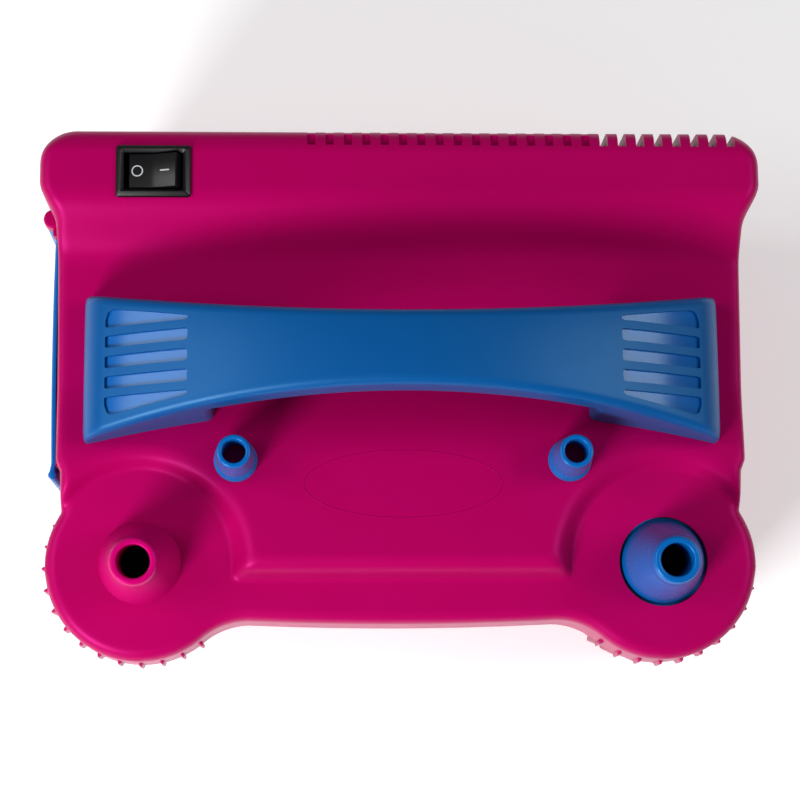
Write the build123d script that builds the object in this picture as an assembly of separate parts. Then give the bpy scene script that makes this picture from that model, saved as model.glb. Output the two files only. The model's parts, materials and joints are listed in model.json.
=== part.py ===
from build123d import *
import math
import os

# Electric balloon pump with two nozzles: a case in two shells, a carrying handle, a fixed nozzle, a
# press-to-run nozzle, a rocker switch, a cord bay with a side door, and a motor with a fan inside.
# Millimetres, +Z up, the nozzles towards -Y, the origin on the surface under the middle of the case.
# The pieces are drawn from the handle's side of the middle, and save() centres them.

# ---- case outline, seen from above ----
REAR_Y = 76.0                    # rear edge of the case
REAR_HALF = 102.0                # half width of the rear band
REAR_CORNER = 10.0               # corner radius of the rear band
BAND_FRONT_Y = 61.0              # where the rear band starts to narrow
NECK_REAR_Y = 49.0               # where the narrow middle starts
NECK_HALF = 97.0                 # half width of the middle
NECK_FRONT_Y = -17.0             # front end of the middle
STEP_HALF = 95.0                 # half width just behind the lobes
STEP_Y = -20.0
LOBE_X = 72.5                    # centres of the two round lobes that carry the nozzles
LOBE_Y = -45.5
LOBE_R = 26.0
FRONT_Y = -60.0                  # straight front edge between the lobes
FRONT_BULGE = 1.0                # the front edge bows out by this much at its middle
FRONT_FILLET = 20.0              # hollow corner between the front edge and each lobe

# ---- levels ----
FOOT_H = 3.0                     # the feet lift the floor by this much
SEAM_Z = 56.0                    # joint between the shells
WALL = 2.5
BASE_INSET = 7.0                 # the lower shell is this much smaller all round at the floor
SEAM_INSET = 0.6                 # and this much smaller at the seam
BAND_Z = 90.0                    # top of the rear band
VALLEY_Z = 79.0                  # lowest line of the deck, under the handle
DECK_Z = 82.0                    # front part of the raised deck
LOBE_Z = 76.0                    # lobe floor at a nozzle's centre
APRON_Y = -49.0                  # front end of the raised deck

# ---- nozzles ----
NOZZLE_X = 72.8
NOZZLE_Y = -45.1
NOZZLE_LEAN = 5.0                # degrees that a nozzle leans forward
NOZZLE_BASE_R = 11.5
NOZZLE_TIP_R = 6.3
NOZZLE_H = 24.0
NOZZLE_BORE_R = 4.5
BORE_LENGTH = 14.0
STEM_R = 8.5
STEM_BORE_R = 6.9
STEM_DEPTH = 22.0                # how far a stem reaches below the lobe floor
FLANGE_R = 14.5
DECK_STEP_R = 30.0               # the raised deck stops at this distance from a nozzle
TUBE_TOP = 14.0                  # top of the duct's outlet tubes, below the lobe floor
TUBE_R = 11.0
TUBE_BORE_R = 9.2

# ---- loose adaptors on their pegs ----
ADAPTOR_X = 46.3
ADAPTOR_Y = -17.5
ADAPTOR_H = 17.0
ADAPTOR_BASE_R = 5.8
ADAPTOR_TIP_R = 4.5
ADAPTOR_BORE_R = 3.2
ADAPTOR_SOCKET_R = 4.3
ADAPTOR_SOCKET_H = 7.0
PEG_R = 4.0
PEG_H = 6.0

# ---- rocker switch ----
SWITCH_X = -69.4
SWITCH_Y = 63.0
SWITCH_L = 21.0
SWITCH_W = 15.0
SWITCH_LIP = 1.6                 # the bezel stands this much above the band
ROCKER_L = 15.6
ROCKER_W = 9.8
ROCKER_TILT = 10.0               # degrees either side of level
ROCKER_PIN_R = 0.8
ROCKER_PIN_HALF = 6.0

# ---- handle ----
HANDLE_HALF = 88.0
HANDLE_Y = 6.7                   # middle line of the handle
HANDLE_MID_HALF = 11.3           # half depth at the middle
HANDLE_END_HALF = 20.4           # half depth at the ends
HANDLE_MID_Z = 115.0
HANDLE_END_Z = 91.0
GRIP_HALF = 50.0                 # half length of the space for the fingers
GRIP_MID_Z = 104.0               # underside of the grip
GRIP_END_Z = 98.0
HANDLE_WALL = 3.0
GROOVES = 5                      # finger grooves at each end
GROOVE_W = 3.4
GROOVE_PITCH = 5.65
GROOVE_L = 22.9
GROOVE_X = 70.2                   # middle of the grooves from the pump's middle
GROOVE_DEPTH = 1.2

# ---- comb of vents along the rear edge ----
COMB_START_X = -25.4
COMB_PITCH = 5.16
COMB_COUNT = 24
COMB_OPEN_FROM = 16              # from this one on, the slots run down through the skirt
COMB_W = 2.3
COMB_DEPTH = 3.8
COMB_FLOOR_Z = 80.0

# ---- ribs that are moulded on the lobes ----
RIB_COUNT = 28                   # in a full circle
RIB_W = 1.5
RIB_PROUD = 1.5
RIB_TOP_Z = 66.0

# ---- cord bay and its door, on the left side ----
BAY_X = -75.0                    # inner wall
BAY_Y0 = -15.0
BAY_Y1 = 48.0
BAY_Z0 = 14.0
BAY_Z1 = 68.0
BAY_WALL = 2.0
DOOR_T = 1.4
DOOR_GAP = 0.4
BEAD_R = 1.2                     # the bead that the door is lifted by
DOOR_BULGE = 0.4                 # the door bows out by this much at its middle
PIN_X = -99.0
PIN_Y = 54.0
PIN_R = 1.2
KNUCKLE_R = 2.6
GLAND_Y = 16.0
GLAND_Z = 40.0
GLAND_R = 3.2

# ---- motor and fan, on an axis along Y ----
MOTOR_Z = 39.0
SHAFT_R = 3.0
BEARING_R = 8.0
BEARING_GAP = 0.05
FAN_R = 28.0
FAN_CASE_R = 32.0
FAN_FRONT_Y = -18.0
FAN_REAR_Y = 2.0
FAN_BLADES = 9
STATOR_R = 24.0
STATOR_Y0 = 14.0
STATOR_Y1 = 36.0
ARMATURE_R = 13.0
COMMUTATOR_R = 8.5
COMMUTATOR_Y0 = 46.0
COMMUTATOR_Y1 = 55.0
BRACKET_R = 27.0
REAR_BEARING_Y = 61.0
FRONT_BEARING_Y = 5.0

# ---- duct from the fan to the nozzles ----
DUCT_Z0 = 34.0
DUCT_Z1 = 49.0
DUCT_Y0 = -45.4
DUCT_Y1 = -31.4
DUCT_WALL = 2.0
DRUM_R = 13.5

# ---- microswitch under the press-to-run nozzle ----
MICRO_X0 = 34.0
MICRO_L = 20.0
MICRO_W = 6.4
MICRO_H = 10.0
MICRO_Y = -41.8
MICRO_Z = 51.2                   # underside, on the duct's pedestal
LEVER_TURN = 25.0                # degrees that the free lever stands up
LEVER_L = 20.4
LEVER_X = MICRO_X0 + 2           # the lever's pivot
LEVER_PIN_R = 0.5

# ---- screws and their posts ----
CASE_POSTS = [(89.0, 62.0), (-89.0, 62.0), (67.0, -17.0), (-67.0, -17.0), (30.0, -49.2), (-30.0, -49.2)]
POST_R = 3.4
FOOT_SPOTS = [(80.0, 58.0), (-80.0, 58.0), (70.0, -43.0), (-70.0, -43.0)]
FOOT_R = 7.0
HANDLE_SCREWS = [(58.0, 7.0), (-58.0, 7.0), (80.0, 7.0), (-80.0, 7.0)]


def save(shape, node):
    """Set one node down with the object's box centred on the origin, and write it."""
    front = LOBE_Y - LOBE_R - RIB_PROUD
    placed = Pos(0, -(REAR_Y + front) / 2, 0) * shape
    placed.label = node
    export_step(placed, "parts/" + node + ".step")


def group(pieces):
    """Separate solids as one node."""
    return Compound([solid for piece in pieces for solid in piece.solids()])


def box(x0, x1, y0, y1, z0, z1):
    """A box between two corners."""
    return Pos((x0 + x1) / 2, (y0 + y1) / 2, (z0 + z1) / 2) * Box(x1 - x0, y1 - y0, z1 - z0)


def rod(x, y, z0, z1, r):
    """An upright cylinder."""
    return Pos(x, y, (z0 + z1) / 2) * Cylinder(r, z1 - z0)


def axle(y0, y1, r, x=0.0, z=MOTOR_Z):
    """A cylinder along Y, on the motor's axis unless told otherwise."""
    return Pos(x, (y0 + y1) / 2, z) * Rot(90, 0, 0) * Cylinder(r, y1 - y0)


def ring(y0, y1, r_out, r_in):
    """A hollow cylinder on the motor's axis."""
    return axle(y0, y1, r_out) - axle(y0 - 1, y1 + 1, r_in)


def outline(inset):
    """The case's plan as a flat face, drawn in by the inset all round."""
    half = REAR_HALF - inset
    neck = NECK_HALF - inset
    step = STEP_HALF - inset
    rear = REAR_Y - inset
    corner = REAR_CORNER - inset
    lobe = LOBE_R - inset
    front = FRONT_Y + inset
    hollow = FRONT_FILLET + inset
    middle_y = (BAND_FRONT_Y + NECK_REAR_Y) / 2

    flank = math.acos((STEP_HALF - inset - LOBE_X) / lobe)
    hollow_y = FRONT_Y - FRONT_FILLET
    drop = LOBE_Y - hollow_y
    reach = math.sqrt((LOBE_R + FRONT_FILLET) ** 2 - drop ** 2)
    hollow_x = LOBE_X - reach
    inner = math.atan2(-drop, -reach)
    mid = (flank + inner) / 2

    def on_lobe(angle):
        return (LOBE_X + lobe * math.cos(angle), LOBE_Y + lobe * math.sin(angle))

    side_end = on_lobe(flank)
    lobe_end = on_lobe(inner)
    hollow_mid = (inner + math.pi + math.pi / 2) / 2
    via = (hollow_x + hollow * math.cos(hollow_mid), hollow_y + hollow * math.sin(hollow_mid))
    right = [
        Line((0, rear), (half - corner, rear)),
        RadiusArc((half - corner, rear), (half, rear - corner), corner),
        Line((half, rear - corner), (half, BAND_FRONT_Y)),
        Bezier((half, BAND_FRONT_Y), (half, middle_y), (neck, middle_y), (neck, NECK_REAR_Y)),
        Line((neck, NECK_REAR_Y), (neck, NECK_FRONT_Y)),
        Line((neck, NECK_FRONT_Y), (step, STEP_Y)),
        Line((step, STEP_Y), side_end),
        ThreePointArc(side_end, on_lobe(mid), lobe_end),
        ThreePointArc(lobe_end, via, (hollow_x, front)),
    ]
    left = [mirror(edge, about=Plane.YZ) for edge in right]
    bow = ThreePointArc((hollow_x, front), (0, front - FRONT_BULGE), (-hollow_x, front))
    return make_face(right + left + [bow])


def raise_to(face, z0, z1):
    """Extrude a plan face between two levels."""
    return extrude(Pos(0, 0, z0) * face, amount=z1 - z0)


def deck_profile(drop):
    """Everything below the deck's side view, lowered by the drop."""
    band = BAND_Z - drop
    valley = VALLEY_Z - drop
    deck = DECK_Z - drop
    far = 90.0
    edges = [
        Line((far, 0), (far, band - 1)),
        Line((far, band - 1), (REAR_Y, band - 1)),
        Line((REAR_Y, band - 1), (REAR_Y - 4, band)),
        Line((REAR_Y - 4, band), (56, band)),
        Bezier((56, band), (48, band), (48, valley + 1), (40, valley + 0.6)),
        Bezier((40, valley + 0.6), (24, valley - 0.6), (4, valley), (-16, deck)),
        Line((-16, deck), (-far, deck)),
        Line((-far, deck), (-far, 0)),
        Line((-far, 0), (far, 0)),
    ]
    side = make_face([Plane.YZ * edge for edge in edges])
    return extrude(side, amount=120, both=True)


def nozzle_place(side):
    """The frame of a nozzle: its own Z runs up its axis from the lobe floor."""
    return Location((side * NOZZLE_X, NOZZLE_Y, LOBE_Z), (NOZZLE_LEAN, 0, 0))


def lobe_cutter(grow, drop):
    """The air above the lobes and the apron, which the raised deck stops short of."""
    cutter = Part()
    for side in (1, -1):
        disc = Pos(0, 0, 30 - drop) * Cylinder(DECK_STEP_R + grow, 60)
        cutter += nozzle_place(side) * disc
    apron = box(-NOZZLE_X, NOZZLE_X, -50, APRON_Y - NOZZLE_Y + grow, -drop, 60)
    return cutter + Location((0, NOZZLE_Y, LOBE_Z), (NOZZLE_LEAN, 0, 0)) * apron


def upper_form(inset):
    """The top shell's solid form, drawn in by the inset on every side but its open one."""
    form = raise_to(outline(inset), SEAM_Z, 100)
    return form & deck_profile(inset) - lobe_cutter(inset, inset)


def comb_slot(number):
    """One vent slot in the rear edge."""
    x = COMB_START_X + number * COMB_PITCH
    low = SEAM_Z - 1 if number >= COMB_OPEN_FROM else COMB_FLOOR_Z
    return box(x - COMB_W / 2, x + COMB_W / 2, REAR_Y - COMB_DEPTH, REAR_Y + 1, low, BAND_Z + 2)


def lobe_ribs(z0, z1, inset):
    """The upright ribs round both lobes, as solids on the wall."""
    ribs = Part()
    step = 360.0 / RIB_COUNT
    for side in (1, -1):
        for number in range(13):
            angle = 26.0 - number * step
            turn = angle if side > 0 else 180 - angle
            bar = Pos(LOBE_R - inset, 0, (z0 + z1) / 2) * Box(2 * RIB_PROUD, RIB_W, z1 - z0)
            ribs += Pos(side * LOBE_X, LOBE_Y, 0) * Rot(0, 0, turn) * bar
    return ribs


def bay_window():
    """The hole in the case's left side that the cord bay fills."""
    window = box(-110, BAY_X, BAY_Y0 - BAY_WALL, BAY_Y1 + BAY_WALL, BAY_Z0 - BAY_WALL, BAY_Z1 + BAY_WALL)
    notch = box(-110, PIN_X + 3.5, BAY_Y1 + 1, PIN_Y + KNUCKLE_R + 0.5, BAY_Z0 - 4, BAY_Z1 + 4)
    return window + notch + rod(PIN_X, PIN_Y, BAY_Z0 - 4, BAY_Z1 + 4, KNUCKLE_R + 0.6)


def top_shell():
    """Upper half of the case, with its deck, lobes, pegs, posts and vents."""
    shell = upper_form(0) - (raise_to(outline(WALL), SEAM_Z - 1, SEAM_Z) + upper_form(WALL))
    for x, y in CASE_POSTS:
        post = rod(x, y, SEAM_Z, 88, POST_R) & deck_profile(1) - lobe_cutter(1, 1)
        shell += post
        shell -= rod(x, y, SEAM_Z - 1, SEAM_Z + 12, 1.4)
    for side in (1, -1):
        shell += rod(side * ADAPTOR_X, ADAPTOR_Y, DECK_Z - 1, DECK_Z + PEG_H, PEG_R)
    clear = {1: 0.9, -1: 0.1}
    for side, gap in clear.items():
        shell -= nozzle_place(side) * Cylinder(NOZZLE_BASE_R + gap, 12)
    for x, y in HANDLE_SCREWS:
        shell -= rod(x, y, 60, 88, 1.8)
    for number in range(COMB_COUNT):
        shell -= comb_slot(number)
    shell -= Pos(SWITCH_X, SWITCH_Y, BAND_Z) * Box(SWITCH_L - 2, SWITCH_W - 2, 20)
    shell += lobe_ribs(SEAM_Z, RIB_TOP_Z, 0)
    shell -= bay_window()
    return shell


def bottom_shell():
    """Lower half of the case: a tray that narrows towards its floor, with posts and the motor's cradles."""
    floor_z = FOOT_H
    base = Pos(0, 0, floor_z) * outline(BASE_INSET)
    mouth = Pos(0, 0, SEAM_Z) * outline(SEAM_INSET)
    outer = loft([base, mouth], ruled=True)
    hollow_low = Pos(0, 0, floor_z + WALL) * outline(BASE_INSET + WALL)
    hollow = loft([hollow_low, Pos(0, 0, SEAM_Z + 1) * outline(SEAM_INSET + WALL)], ruled=True)
    shell = outer - hollow
    for x, y in CASE_POSTS:
        reach = 5.2 if abs(x) > 80 else POST_R
        shell += rod(x, y, floor_z + 1, SEAM_Z - 0.2, reach) & outer
        shell -= rod(x, y, floor_z + 12, SEAM_Z + 1, 1.7)
        shell -= rod(x, y, floor_z - 1, floor_z + 14, 2.9)
    for x, y in FOOT_SPOTS:
        shell -= rod(x, y, floor_z - 1, floor_z + 0.6, FOOT_R)
    for y, radius in ((10.0, BRACKET_R), (52.0, BRACKET_R)):
        cradle = box(-30, 30, y - 1.5, y + 1.5, floor_z + 1, 34)
        shell += cradle - axle(y - 4, y + 4, radius + 1.6)
    shell -= bay_window()
    return shell


def feet():
    """Four rubber pads in their recesses."""
    return group([rod(x, y, 0, FOOT_H + 0.6, FOOT_R) for x, y in FOOT_SPOTS])


def screw(x, y, head_z, tip_z, r, head_r):
    """A round-headed screw, its head below and its tip above."""
    return rod(x, y, head_z, head_z + 2.2, head_r) + rod(x, y, head_z + 2.2, tip_z, r)


def case_screws():
    """The screws that close the case from below."""
    return group([screw(x, y, FOOT_H + 9.8, SEAM_Z + 10, 1.4, 2.8) for x, y in CASE_POSTS])


def handle_screws():
    """The screws that hold the handle from inside the case."""
    return group([screw(x, y, VALLEY_Z - 5.2, VALLEY_Z + 7, 1.6, 3.2) for x, y in HANDLE_SCREWS])


def handle_plan(inset):
    """The handle from above: waisted, with round corners."""
    half = HANDLE_HALF - inset
    end = HANDLE_END_HALF - inset
    mid = HANDLE_MID_HALF - inset
    edges = []
    for side in (1, -1):
        edges.append(ThreePointArc((-half, side * end), (0, side * mid), (half, side * end)))
        edges.append(Line((side * half, -end), (side * half, end)))
    face = make_face(edges)
    return Pos(0, HANDLE_Y, 0) * fillet(face.vertices(), 6 - inset)


def handle_side(inset, floor_z):
    """Everything under the handle's arched top, down to a level."""
    top = HANDLE_MID_Z - inset
    end = HANDLE_END_Z - inset
    half = HANDLE_HALF + 2
    edges = [
        ThreePointArc((-half, end), (0, top), (half, end)),
        Line((half, end), (half, floor_z)),
        Line((half, floor_z), (-half, floor_z)),
        Line((-half, floor_z), (-half, end)),
    ]
    side = make_face([Plane.XZ * edge for edge in edges])
    return extrude(side, amount=60, both=True)


def grip_space(grow):
    """The space for the fingers, grown by a wall."""
    half = GRIP_HALF + grow
    edges = [
        ThreePointArc((-half, GRIP_END_Z + grow), (0, GRIP_MID_Z + grow), (half, GRIP_END_Z + grow)),
        Line((half, GRIP_END_Z + grow), (half, 60)),
        Line((half, 60), (-half, 60)),
        Line((-half, 60), (-half, GRIP_END_Z + grow)),
    ]
    side = make_face([Plane.XZ * edge for edge in edges])
    return extrude(side, amount=60, both=True)


def handle():
    """The blue handle: an arched, waisted cover that stands on the deck at both ends."""
    form = raise_to(handle_plan(0), 60, 130) & handle_side(0, 70)
    pocket = raise_to(handle_plan(HANDLE_WALL), 60, 130) & handle_side(HANDLE_WALL, 60)
    body = form - pocket - grip_space(0) - deck_profile(0)
    bosses = Part()
    for x, y in HANDLE_SCREWS:
        bosses += rod(x, y, 70, 112, 4.2) & handle_side(1, 60)
    body += bosses - deck_profile(0)
    for x, y in HANDLE_SCREWS:
        body -= rod(x, y, 70, VALLEY_Z + 9, 1.6)
    under = handle_side(GROOVE_DEPTH, 60)
    middle = (GROOVES - 1) / 2
    for side in (1, -1):
        for number in range(GROOVES):
            y = HANDLE_Y + (number - middle) * GROOVE_PITCH
            cutter = Pos(side * GROOVE_X, y, 100) * Box(GROOVE_L, GROOVE_W, 60)
            body -= cutter - under
    return body


def handle_underside():
    """The plate that closes the grip from below and covers the legs' inner ends."""
    plan = raise_to(handle_plan(HANDLE_WALL + 0.1), 60, 130)
    strip = grip_space(2.5) - grip_space(0)
    return (strip & plan) - deck_profile(0)


def nozzle(side):
    """A cone with a straight bore, a flange under the deck and a stem down into the duct."""
    cone = Pos(0, 0, NOZZLE_H / 2) * Cone(NOZZLE_BASE_R, NOZZLE_TIP_R, NOZZLE_H)
    skirt = Pos(0, 0, -2) * Cylinder(NOZZLE_BASE_R, 4)
    gap = 0.3 if side > 0 else 0.0
    flange = Pos(0, 0, -WALL - gap - 1.0) * Cylinder(FLANGE_R, 2)
    stem = Pos(0, 0, -STEM_DEPTH / 2) * Cylinder(STEM_R, STEM_DEPTH)
    body = cone + skirt + flange + stem
    if side > 0:
        body += Pos(-(FLANGE_R + 3), 0, -WALL - gap - 1.0) * Box(10, 8, 2)
    bore = Pos(0, 0, NOZZLE_H - BORE_LENGTH / 2 + 1) * Cylinder(NOZZLE_BORE_R, BORE_LENGTH + 2)
    low = Pos(0, 0, (NOZZLE_H - BORE_LENGTH - STEM_DEPTH - 1) / 2)
    throat = low * Cylinder(STEM_BORE_R, NOZZLE_H - BORE_LENGTH + STEM_DEPTH + 1)
    return nozzle_place(side) * (body - bore - throat)


def seal_ring(side):
    """The rubber ring between a stem and its outlet tube."""
    bore = STEM_R + (0.05 if side > 0 else 0.0)
    body = Cylinder(TUBE_BORE_R, 2.4) - Cylinder(bore, 4)
    return nozzle_place(side) * Pos(0, 0, -TUBE_TOP - 2.4) * body


def nozzle_spring():
    """The coil spring that lifts the press-to-run nozzle."""
    low = -TUBE_TOP + 0.7
    high = -WALL - 0.3 - 2.0 - 0.7
    turns = 3
    path = Helix(pitch=(high - low) / turns, height=high - low, radius=10.2)
    section = Plane(path @ 0, z_dir=path % 0) * Circle(0.6)
    coil = sweep(section, path=path, is_frenet=True)
    return nozzle_place(1) * Pos(0, 0, low) * coil


def duct():
    """The air duct along the front: a box with a drum under each nozzle and a neck from the fan."""
    def form(wall):
        tunnel = box(-NOZZLE_X, NOZZLE_X, DUCT_Y0 + wall, DUCT_Y1 - wall, DUCT_Z0 + wall, DUCT_Z1 - wall)
        neck = box(-14 + wall, 14 - wall, DUCT_Y1 - 4, FAN_FRONT_Y + wall, DUCT_Z0 + wall, DUCT_Z1 - wall)
        shape = tunnel + neck
        for side in (1, -1):
            shape += rod(side * NOZZLE_X, NOZZLE_Y + 3, DUCT_Z0 + wall, DUCT_Z1 - wall, DRUM_R - wall)
            radius = TUBE_R if wall == 0 else TUBE_BORE_R
            top = TUBE_TOP if wall == 0 else TUBE_TOP - 1
            tube = Pos(0, 0, -(top + 30) / 2) * Cylinder(radius, 30 - top)
            shape += nozzle_place(side) * tube
        return shape
    pedestal = box(MICRO_X0 + 2, MICRO_X0 + MICRO_L - 2, MICRO_Y - 3, MICRO_Y + 3, DUCT_Z1 - 1, MICRO_Z)
    return form(0) + pedestal - form(DUCT_WALL)


def adaptor(side):
    """A slim loose nozzle that is stored over a peg."""
    cone = Pos(0, 0, ADAPTOR_H / 2 + 0.3) * Cone(ADAPTOR_BASE_R, ADAPTOR_TIP_R, ADAPTOR_H)
    foot = Pos(0, 0, 1.0) * Cylinder(ADAPTOR_BASE_R + 0.2, 1.4)
    bore = Pos(0, 0, ADAPTOR_H / 2) * Cylinder(ADAPTOR_BORE_R, ADAPTOR_H + 4)
    socket = Pos(0, 0, ADAPTOR_SOCKET_H / 2 - 0.5) * Cylinder(ADAPTOR_SOCKET_R, ADAPTOR_SOCKET_H + 1)
    return Pos(side * ADAPTOR_X, ADAPTOR_Y, DECK_Z) * (cone + foot - bore - socket)


def switch_body():
    """Bezel and housing of the rocker switch."""
    x, y = SWITCH_X, SWITCH_Y
    bezel = Pos(x, y, BAND_Z + SWITCH_LIP / 2) * Box(SWITCH_L, SWITCH_W, SWITCH_LIP)
    bezel = chamfer(bezel.edges().group_by(Axis.Z)[-1], 0.9)
    half_l = SWITCH_L / 2 - 1.2
    half_w = SWITCH_W / 2 - 1.2
    house = box(x - half_l, x + half_l, y - half_w, y + half_w, BAND_Z - 14, BAND_Z)
    cave_l = ROCKER_L / 2 + 0.4
    cave_w = ROCKER_W / 2 + 0.4
    cave = box(x - cave_l, x + cave_l, y - cave_w, y + cave_w, BAND_Z - 12, BAND_Z + 3)
    pivot = axle(y - ROCKER_PIN_HALF, y + ROCKER_PIN_HALF, ROCKER_PIN_R + 0.1, x, BAND_Z)
    return bezel + house - cave - pivot


def switch_rocker():
    """The rocker at rest in its off position, its left end down, on its pivot pin."""
    half = ROCKER_L / 2 - 0.2
    points = [(-half, 1.6), (0, 0.9), (half, 1.6), (half - 0.4, -2.4), (3, -6), (-3, -6), (-half + 0.4, -2.4)]
    side = make_face(Plane.XZ * Polyline(*points, close=True))
    body = extrude(side, amount=ROCKER_W / 2, both=True)
    reach = ROCKER_PIN_HALF - 0.1
    pin = axle(SWITCH_Y - reach, SWITCH_Y + reach, ROCKER_PIN_R, SWITCH_X, BAND_Z)
    return Pos(SWITCH_X, SWITCH_Y, BAND_Z) * Rot(0, -ROCKER_TILT, 0) * body + pin


def switch_terminals():
    """Two flat blades under the switch."""
    blades = []
    for dx in (-5.0, 5.0):
        blades.append(Pos(SWITCH_X + dx, SWITCH_Y, BAND_Z - 18) * Box(0.8, 4.8, 8))
    return group(blades)


def bay_form(wall):
    """The cord bay's box, drawn in by a wall on five sides and open to the left."""
    left = -NECK_HALF - 0.2 - wall
    return box(left, BAY_X - wall, BAY_Y0 + wall - BAY_WALL, BAY_Y1 - wall + BAY_WALL,
               BAY_Z0 + wall - BAY_WALL, BAY_Z1 - wall + BAY_WALL)


def cord_bay():
    """The open box that the cord is put away in, with the ears that carry the door's pin."""
    bay = bay_form(0) - bay_form(BAY_WALL)
    bay -= Pos(BAY_X, GLAND_Y, GLAND_Z) * Rot(0, 90, 0) * Cylinder(GLAND_R + 2, 12)
    for z0, z1 in ((BAY_Z0 - 4, BAY_Z0 - DOOR_GAP), (BAY_Z1 + DOOR_GAP, BAY_Z1 + 4)):
        ear = rod(PIN_X, PIN_Y, z0, z1, KNUCKLE_R + 0.2)
        ear += box(PIN_X, PIN_X + 3.5, BAY_Y1 + 1, PIN_Y + KNUCKLE_R, z0, z1)
        bay += ear - rod(PIN_X, PIN_Y, z0 - 1, z1 + 1, PIN_R)
    return bay


def door_pin():
    """The upright steel pin of the door."""
    return rod(PIN_X, PIN_Y, BAY_Z0 - 4, BAY_Z1 + 4, PIN_R)


def cord_door():
    """The blue door: a bowed plate with a knuckle at its rear and a round bead to lift it by."""
    x = -NECK_HALF - 0.3
    rear = BAY_Y1 + 2
    front = BAY_Y0 - 1
    mid = (rear + front) / 2
    skin = [
        ThreePointArc((x - DOOR_T, rear), (x - DOOR_T - DOOR_BULGE, mid), (x - DOOR_T, front)),
        Line((x - DOOR_T, front), (x, front)),
        ThreePointArc((x, front), (x - DOOR_BULGE, mid), (x, rear)),
        Line((x, rear), (x - DOOR_T, rear)),
    ]
    plate = raise_to(make_face(skin), BAY_Z0, BAY_Z1)
    link = box(PIN_X - 0.6, PIN_X + 1.2, rear - 2, PIN_Y, BAY_Z0, BAY_Z1)
    knuckle = rod(PIN_X, PIN_Y, BAY_Z0, BAY_Z1, KNUCKLE_R)
    web = box(x - DOOR_T + 0.1, x - 0.2, front - 3, front + 1, BAY_Z0 + 8, BAY_Z1)
    bead = rod(x - 1.1, front - 3.2, BAY_Z0 + 8, BAY_Z1, BEAD_R)
    return plate + link + knuckle + web + bead - rod(PIN_X, PIN_Y, BAY_Z0 - 1, BAY_Z1 + 1, PIN_R + 0.05)


def cord_gland():
    """The rubber bush that the mains cord comes through."""
    bush = Cylinder(GLAND_R + 2, 4.0)
    for z in (-2.6, 2.6):
        bush += Pos(0, 0, z) * Cylinder(GLAND_R + 4, 1.6)
    bush -= Cylinder(GLAND_R, 12)
    return Pos(BAY_X - BAY_WALL / 2, GLAND_Y, GLAND_Z) * Rot(0, 90, 0) * bush


def fan_case():
    """The round case of the fan, with its outlet into the duct's neck."""
    shell = axle(FAN_FRONT_Y, FAN_REAR_Y, FAN_CASE_R) - axle(FAN_FRONT_Y + 2, FAN_REAR_Y + 1, FAN_CASE_R - 2)
    return shell - box(-12, 12, FAN_FRONT_Y - 1, FAN_FRONT_Y + 3, DUCT_Z0 + 2, DUCT_Z1 - 2)


def fan_backplate():
    """The plate that closes the fan case and carries the front bearing."""
    plate = ring(FAN_REAR_Y, FAN_REAR_Y + 2, FAN_CASE_R, BEARING_R)
    hub = ring(FAN_REAR_Y + 2, FRONT_BEARING_Y + 2.5, BEARING_R + 2, BEARING_R)
    plate += hub
    for number in range(6):
        hole = Pos(0, FAN_REAR_Y + 1, MOTOR_Z) * Rot(0, number * 60 + 30, 0) * Pos(0, 0, 15) * Rot(90, 0, 0)
        plate -= hole * Cylinder(3.5, 4)
    return plate


def impeller():
    """The fan wheel: a disc with bent blades round a hub."""
    disc = ring(-1.5, 0.0, FAN_R, SHAFT_R + 4)
    hub = ring(-11.0, 0.5, SHAFT_R + 4.2, SHAFT_R)
    wheel = disc + hub
    for number in range(FAN_BLADES):
        blade = Pos(0, -6.0, 18.5) * Rot(0, 28, 0) * Box(1.4, 9.6, 18)
        wheel += Pos(0, 0, MOTOR_Z) * Rot(0, number * 360.0 / FAN_BLADES, 0) * blade
    return wheel


def impeller_nut():
    """The nut that holds the fan wheel on the shaft."""
    nut = Pos(0, -12.5, MOTOR_Z) * Rot(90, 0, 0) * extrude(RegularPolygon(5.5, 6), amount=1.5, both=True)
    return nut - axle(-16, -9, SHAFT_R)


def motor_shaft():
    """The steel shaft."""
    return axle(-14.5, REAR_BEARING_Y + 5, SHAFT_R)


def bearing(y):
    """A sintered bush."""
    return ring(y - 3, y + 3, BEARING_R, SHAFT_R + BEARING_GAP)


def stator_core():
    """The laminated field core: a round yoke with two poles."""
    yoke = ring(STATOR_Y0, STATOR_Y1, STATOR_R, STATOR_R - 4)
    poles = Part()
    for turn in (0, 180):
        pole = box(-7, 7, STATOR_Y0, STATOR_Y1, ARMATURE_R - 1, STATOR_R - 3)
        poles += Pos(0, 0, MOTOR_Z) * Rot(0, turn, 0) * pole
    shoes = ring(STATOR_Y0, STATOR_Y1, ARMATURE_R + 3, ARMATURE_R + 0.5)
    shoes -= box(-40, 40, STATOR_Y0 - 1, STATOR_Y1 + 1, MOTOR_Z - 6, MOTOR_Z + 6)
    poles -= axle(STATOR_Y0 - 1, STATOR_Y1 + 1, ARMATURE_R + 0.5)
    return yoke + poles + shoes


def field_coils():
    """The two copper coils round the field poles."""
    coils = []
    for turn in (0, 180):
        band = ring(STATOR_Y0 - 4, STATOR_Y1 + 4, STATOR_R - 4.2, ARMATURE_R + 3.2)
        coil = band & box(-10.5, 10.5, STATOR_Y0 - 4, STATOR_Y1 + 4, MOTOR_Z, MOTOR_Z + 30)
        coil -= box(-7.2, 7.2, STATOR_Y0 - 0.2, STATOR_Y1 + 0.2, MOTOR_Z, MOTOR_Z + 30)
        coils.append(Pos(0, 0, MOTOR_Z) * Rot(0, turn, 0) * Pos(0, 0, -MOTOR_Z) * coil)
    return group(coils)


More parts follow.
